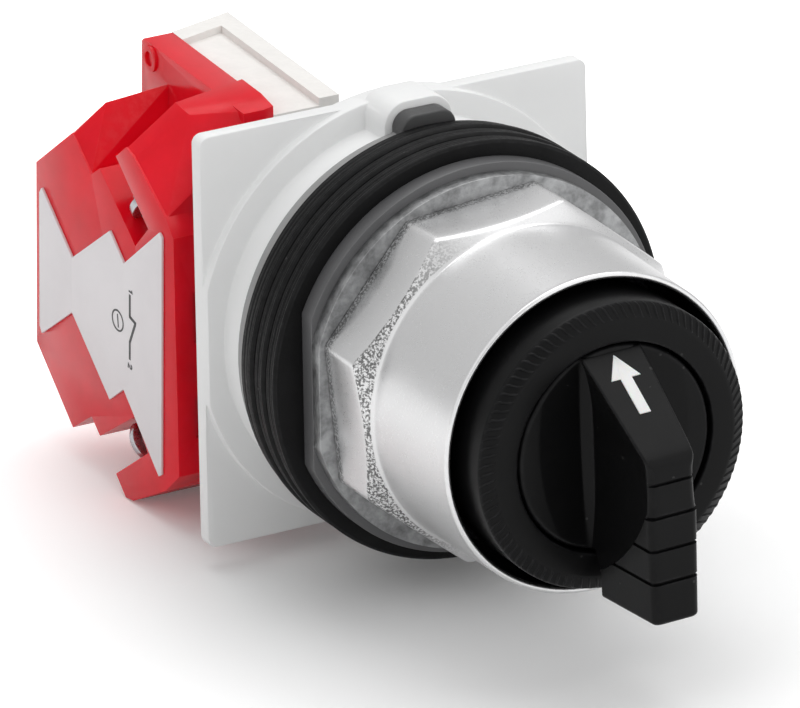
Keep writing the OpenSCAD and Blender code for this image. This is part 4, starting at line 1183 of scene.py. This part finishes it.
def stroke(points, width, face, s):
    """One inked line on the label, as a thin bar along points in the block's leaning frame."""
    line = np.array(points, float) * MM
    closed = bool(np.allclose(line[0], line[-1]))
    if closed:
        line = line[:-1]
        along = np.roll(line, -1, 0) - np.roll(line, 1, 0)
    else:
        along = np.gradient(line, axis=0)
    along /= np.linalg.norm(along, axis=1)[:, None]
    across = np.stack([-along[:, 1], along[:, 0]], 1) * width / 2
    rows = np.zeros((len(line), 4, 3))
    for k, (side, lift) in enumerate(((1, -0.03), (-1, -0.03), (-1, 0.01), (1, 0.01))):
        edge = line + across * side
        rows[:, k, 0] = face + lift * MM
        rows[:, k, 1] = s.pivot_depth + edge[:, 0] * math.cos(s.lean) - edge[:, 1] * math.sin(s.lean)
        rows[:, k, 2] = s.pivot_height + edge[:, 0] * math.sin(s.lean) + edge[:, 1] * math.cos(s.lean)
    if closed:
        rows = np.concatenate([rows, rows[:1]])
    return outward(grid_mesh("stroke", rows, caps=not closed))


def contact_symbol(s):
    """The inked lines of a plain contact symbol, and of a circle with a bar, between the numbers 1 and 2."""
    fine, bold = s.ink_width * 0.55, s.ink_width
    middle, across, high = (10.5, -0.02), 1.2, 1.1
    turns = np.linspace(0, 2 * math.pi, 33)
    circled = [(middle[0] + across * math.cos(a), middle[1] + high * math.sin(a)) for a in turns]
    one = [(7.45, 4.56), (7.22, 4.32), (8.04, 4.32)]
    two = [
        (7.6, -3.9), (7.42, -3.96), (7.36, -4.12), (7.46, -4.3), (7.66, -4.3), (8.17, -3.88), (8.17, -4.38)
    ]
    return [
        ([(7.82, 3.96), (7.82, 1.46)], bold),
        ([(7.95, 1.5), (6.45, 1.2)], bold),
        ([(6.6, 1.15), (7.82, -1.4), (7.82, -3.37)], bold),
        (circled, fine),
        ([(10.56, 0.7), (10.36, -0.76)], fine),
        (one, fine),
        (two, fine),
    ]


class BuildBlock(bpy.types.Operator):
    """Builds the red and clear halves of the contact block with their fittings"""

    bl_idname = "switch.block"
    bl_label = "Build contact block"

    def execute(self, context):
        softened("red_housing", "red_shell", 0.22 * MM, 3, 28.0)
        softened("clear_housing", "clear_shell", 0.3 * MM, 3, 30.0)
        softened("label_plate", "label_face", 0.05 * MM, 2)
        s = context.scene.switch_block
        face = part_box("label_plate")[0].x
        marks = joined("label_marks", [stroke(points, width, face, s) for points, width in contact_symbol(s)])
        finish_piece(link("label_marks", marks), "operator", "label_film", [], 40.0, MATERIALS["ink"])
        fittings = (
            ("terminal_screw", "clamp_screw", 0.12 * MM),
            ("wire_clamp", "clamp_washer", 0.1 * MM),
            ("block_screw", "long_screw", 0.15 * MM),
        )
        for node, name, width in fittings:
            for end in ("_upper", "_lower"):
                softened(node + end, name + end, width, 2)
        return {"FINISHED"}


def coil_for(node, name, turns, wire):
    """A wire coil that stands for a spring's plain solid. wire is the wire's radius."""
    low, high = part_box(node)
    centre = (low + high) / 2
    coil = link(name, bpy.data.meshes.new(name))
    grow(
        coil,
        wire_coil,
        Turns=turns,
        Coil_Radius=(high.x - low.x) / 2 - wire,
        Wire_Radius=wire,
        Length=high.y - low.y - 2 * wire,
        Centre=(centre.x, low.y + wire, centre.z),
        Material=MATERIALS["steel"],
    )
    finish_piece(coil, "operator", "steel", [node])


class BuildOperatorBody(bpy.types.Operator):
    """Builds the cast barrel, its rear cover, the shaft seal and the springs"""

    bl_idname = "switch.operator_body"
    bl_label = "Build operator body"

    def execute(self, context):
        softened("operator_body", "cast_body", 0.2 * MM, 2, 30.0)
        softened("rear_cover", "cast_cover", 0.2 * MM, 2, 30.0)
        softened("shaft_seal", "seal_ring", 0.1 * MM, 2)
        coil_for("detent_spring_1", "detent_coil_1", 7.0, 0.2 * MM)
        coil_for("detent_spring_2", "detent_coil_2", 7.0, 0.2 * MM)
        coil_for("return_spring", "return_coil", 4.0, 0.3 * MM)
        return {"FINISHED"}


def area_lamp(name, watts, size, at, target):
    data = bpy.data.lights.new(name, "AREA")
    data.energy = watts
    data.shape = "RECTANGLE"
    data.size, data.size_y = size
    lamp = bpy.data.objects.new(name, data)
    bpy.context.scene.collection.objects.link(lamp)
    lamp.location = at
    lamp.rotation_mode = "QUATERNION"
    lamp.rotation_quaternion = (Vector(target) - Vector(at)).to_track_quat("-Z", "Y")
    return lamp


def studio_camera(s):
    """A camera where the photograph's camera stood, turned so that the switch falls on its place there."""
    flat = math.cos(s.elevation)
    back = Vector((math.sin(s.azimuth) * flat, -math.cos(s.azimuth) * flat, math.sin(s.elevation)))
    right = (-back).cross(Vector((0, 0, 1))).normalized()
    up = right.cross(-back)
    turned_right = right * math.cos(s.roll) + up * math.sin(s.roll)
    turned_up = -right * math.sin(s.roll) + up * math.cos(s.roll)
    axes = Matrix((turned_right, turned_up, back)).transposed()
    # the switch's origin lies this many pixels off the middle of the photograph
    off_down, off_side = 50.652, 2.346
    focal = s.lens / SENSOR * PHOTO_WIDTH
    aim = Matrix.Rotation(-off_down / focal, 3, "X") @ Matrix.Rotation(-off_side / focal, 3, "Y")
    camera = bpy.data.objects.new("camera", bpy.data.cameras.new("camera"))
    bpy.context.scene.collection.objects.link(camera)
    camera.data.lens = s.lens
    camera.data.sensor_width = SENSOR
    camera.data.clip_start, camera.data.clip_end = 0.05, 50
    camera.matrix_world = Matrix.Translation(back * s.distance) @ (axes @ aim).to_4x4()
    bpy.context.scene.camera = camera


def pale_floor():
    """A floor just under the switch, seen lighter than it lights the switch."""
    ground = CAD_BOX[0].z - 0.1 * MM
    reach = 4.0
    corners = [(x * reach, y * reach, ground) for x, y in ((-1, -1), (1, -1), (1, 1), (-1, 1))]
    mesh = bpy.data.meshes.new("floor")
    mesh.from_pydata(corners, [], [(0, 1, 2, 3)])
    floor = link("floor", mesh)
    material, tree, shader = new_material("Pale floor", Roughness=0.9, Specular_IOR_Level=0.1)
    path = add(tree, "ShaderNodeLightPath").outputs
    seen = maths(tree, "MULTIPLY_ADD", path["Is Glossy Ray"], 0.3, path["Is Camera Ray"])
    seen = maths(tree, "ADD", seen, path["Is Transmission Ray"], clamp=True)
    tree.links.new(mix_colour(tree, seen, grey(0.78), grey(1.0)), shader.inputs["Base Color"])
    # a glow that starts outside the object's shadow and whitens the floor further out
    inputs = {0: object_place(tree), 1: (0.0, -0.02, ground)}
    offset = add(tree, "ShaderNodeVectorMath", {"operation": "DISTANCE"}, inputs).outputs["Value"]
    glow = maths(tree, "MULTIPLY", seen, remap(tree, offset, 0.03, 0.12, 0.0, 0.6))
    lift = add(tree, "ShaderNodeEmission", None, {"Strength": glow})
    both = add(tree, "ShaderNodeAddShader", None, {0: shader.outputs[0], 1: lift.outputs[0]})
    tree.links.new(both.outputs[0], tree.nodes["Material Output"].inputs["Surface"])
    mesh.materials.append(material)


def studio_sky():
    """A white backdrop that lights the switch a little more from above than from the sides."""
    world = bpy.context.scene.world or bpy.data.worlds.new("studio")
    bpy.context.scene.world = world
    world.use_nodes = True
    tree = world.node_tree
    tree.nodes.clear()
    direction = add(tree, "ShaderNodeTexCoord").outputs["Generated"]
    rise = add(tree, "ShaderNodeSeparateXYZ", None, {0: direction}).outputs[2]
    level = remap(tree, rise, -0.1, 0.9, 0.56, 0.72)
    rays = add(tree, "ShaderNodeLightPath").outputs
    strength = maths(tree, "MAXIMUM", level, rays["Is Camera Ray"])
    sky = add(tree, "ShaderNodeBackground", None, {"Color": (1, 1, 1, 1), "Strength": strength})
    tree.links.new(sky.outputs[0], add(tree, "ShaderNodeOutputWorld").inputs["Surface"])


class BuildStage(bpy.types.Operator):
    """Sets the floor, the studio light and the camera at the photograph's viewing angle"""

    bl_idname = "switch.stage"
    bl_label = "Build stage"

    def execute(self, context):
        s = context.scene.switch_stage
        studio_camera(s)
        pale_floor()
        studio_sky()
        target = (0, -0.02, 0)
        area_lamp("overhead", s.key_power, (1.1, 0.9), (0.2, 0.14, 0.95), target)
        area_lamp("front_left", s.fill_power * 0.5, (1.2, 1.2), (-0.85, -0.45, 0.45), target)
        area_lamp("front_right", s.fill_power, (1.2, 1.2), (0.6, -0.85, 0.5), target)
        context.scene.view_settings.view_transform = "Standard"
        return {"FINISHED"}


class SwitchPanel(bpy.types.Panel):
    """Lists the switch's building steps and sizes"""

    bl_idname = "VIEW3D_PT_switch"
    bl_label = "Selector switch"
    bl_space_type = "VIEW_3D"
    bl_region_type = "UI"
    bl_category = "Switch"

    def draw(self, context):
        for step in STEPS:
            self.layout.operator(step.bl_idname)
        for name in SETTINGS:
            box = self.layout.box()
            group = getattr(context.scene, name)
            for key in group.__annotations__:
                box.prop(group, key)


SETTINGS = {
    "switch_knob": KnobSizes,
    "switch_bezel": BezelSizes,
    "switch_nut": NutSizes,
    "switch_stack": StackSizes,
    "switch_block": BlockSizes,
    "switch_finishes": Finishes,
    "switch_stage": StageSettings,
}
STEPS = (
    BuildMaterials,
    BuildStage,
    BuildPlate,
    BuildStack,
    BuildNut,
    BuildBezel,
    BuildKnob,
    BuildBlock,
    BuildOperatorBody,
)


def register():
    for name, group in SETTINGS.items():
        bpy.utils.register_class(group)
        setattr(bpy.types.Scene, name, PointerProperty(type=group))
    for step in STEPS:
        bpy.utils.register_class(step)
    bpy.utils.register_class(SwitchPanel)


def unregister():
    bpy.utils.unregister_class(SwitchPanel)
    for step in reversed(STEPS):
        bpy.utils.unregister_class(step)
    for name, group in SETTINGS.items():
        delattr(bpy.types.Scene, name)
        bpy.utils.unregister_class(group)


def main():
    register()
    for step in STEPS:
        category, name = step.bl_idname.split(".")
        getattr(getattr(bpy.ops, category), name)()


if __name__ == "__main__":
    main()
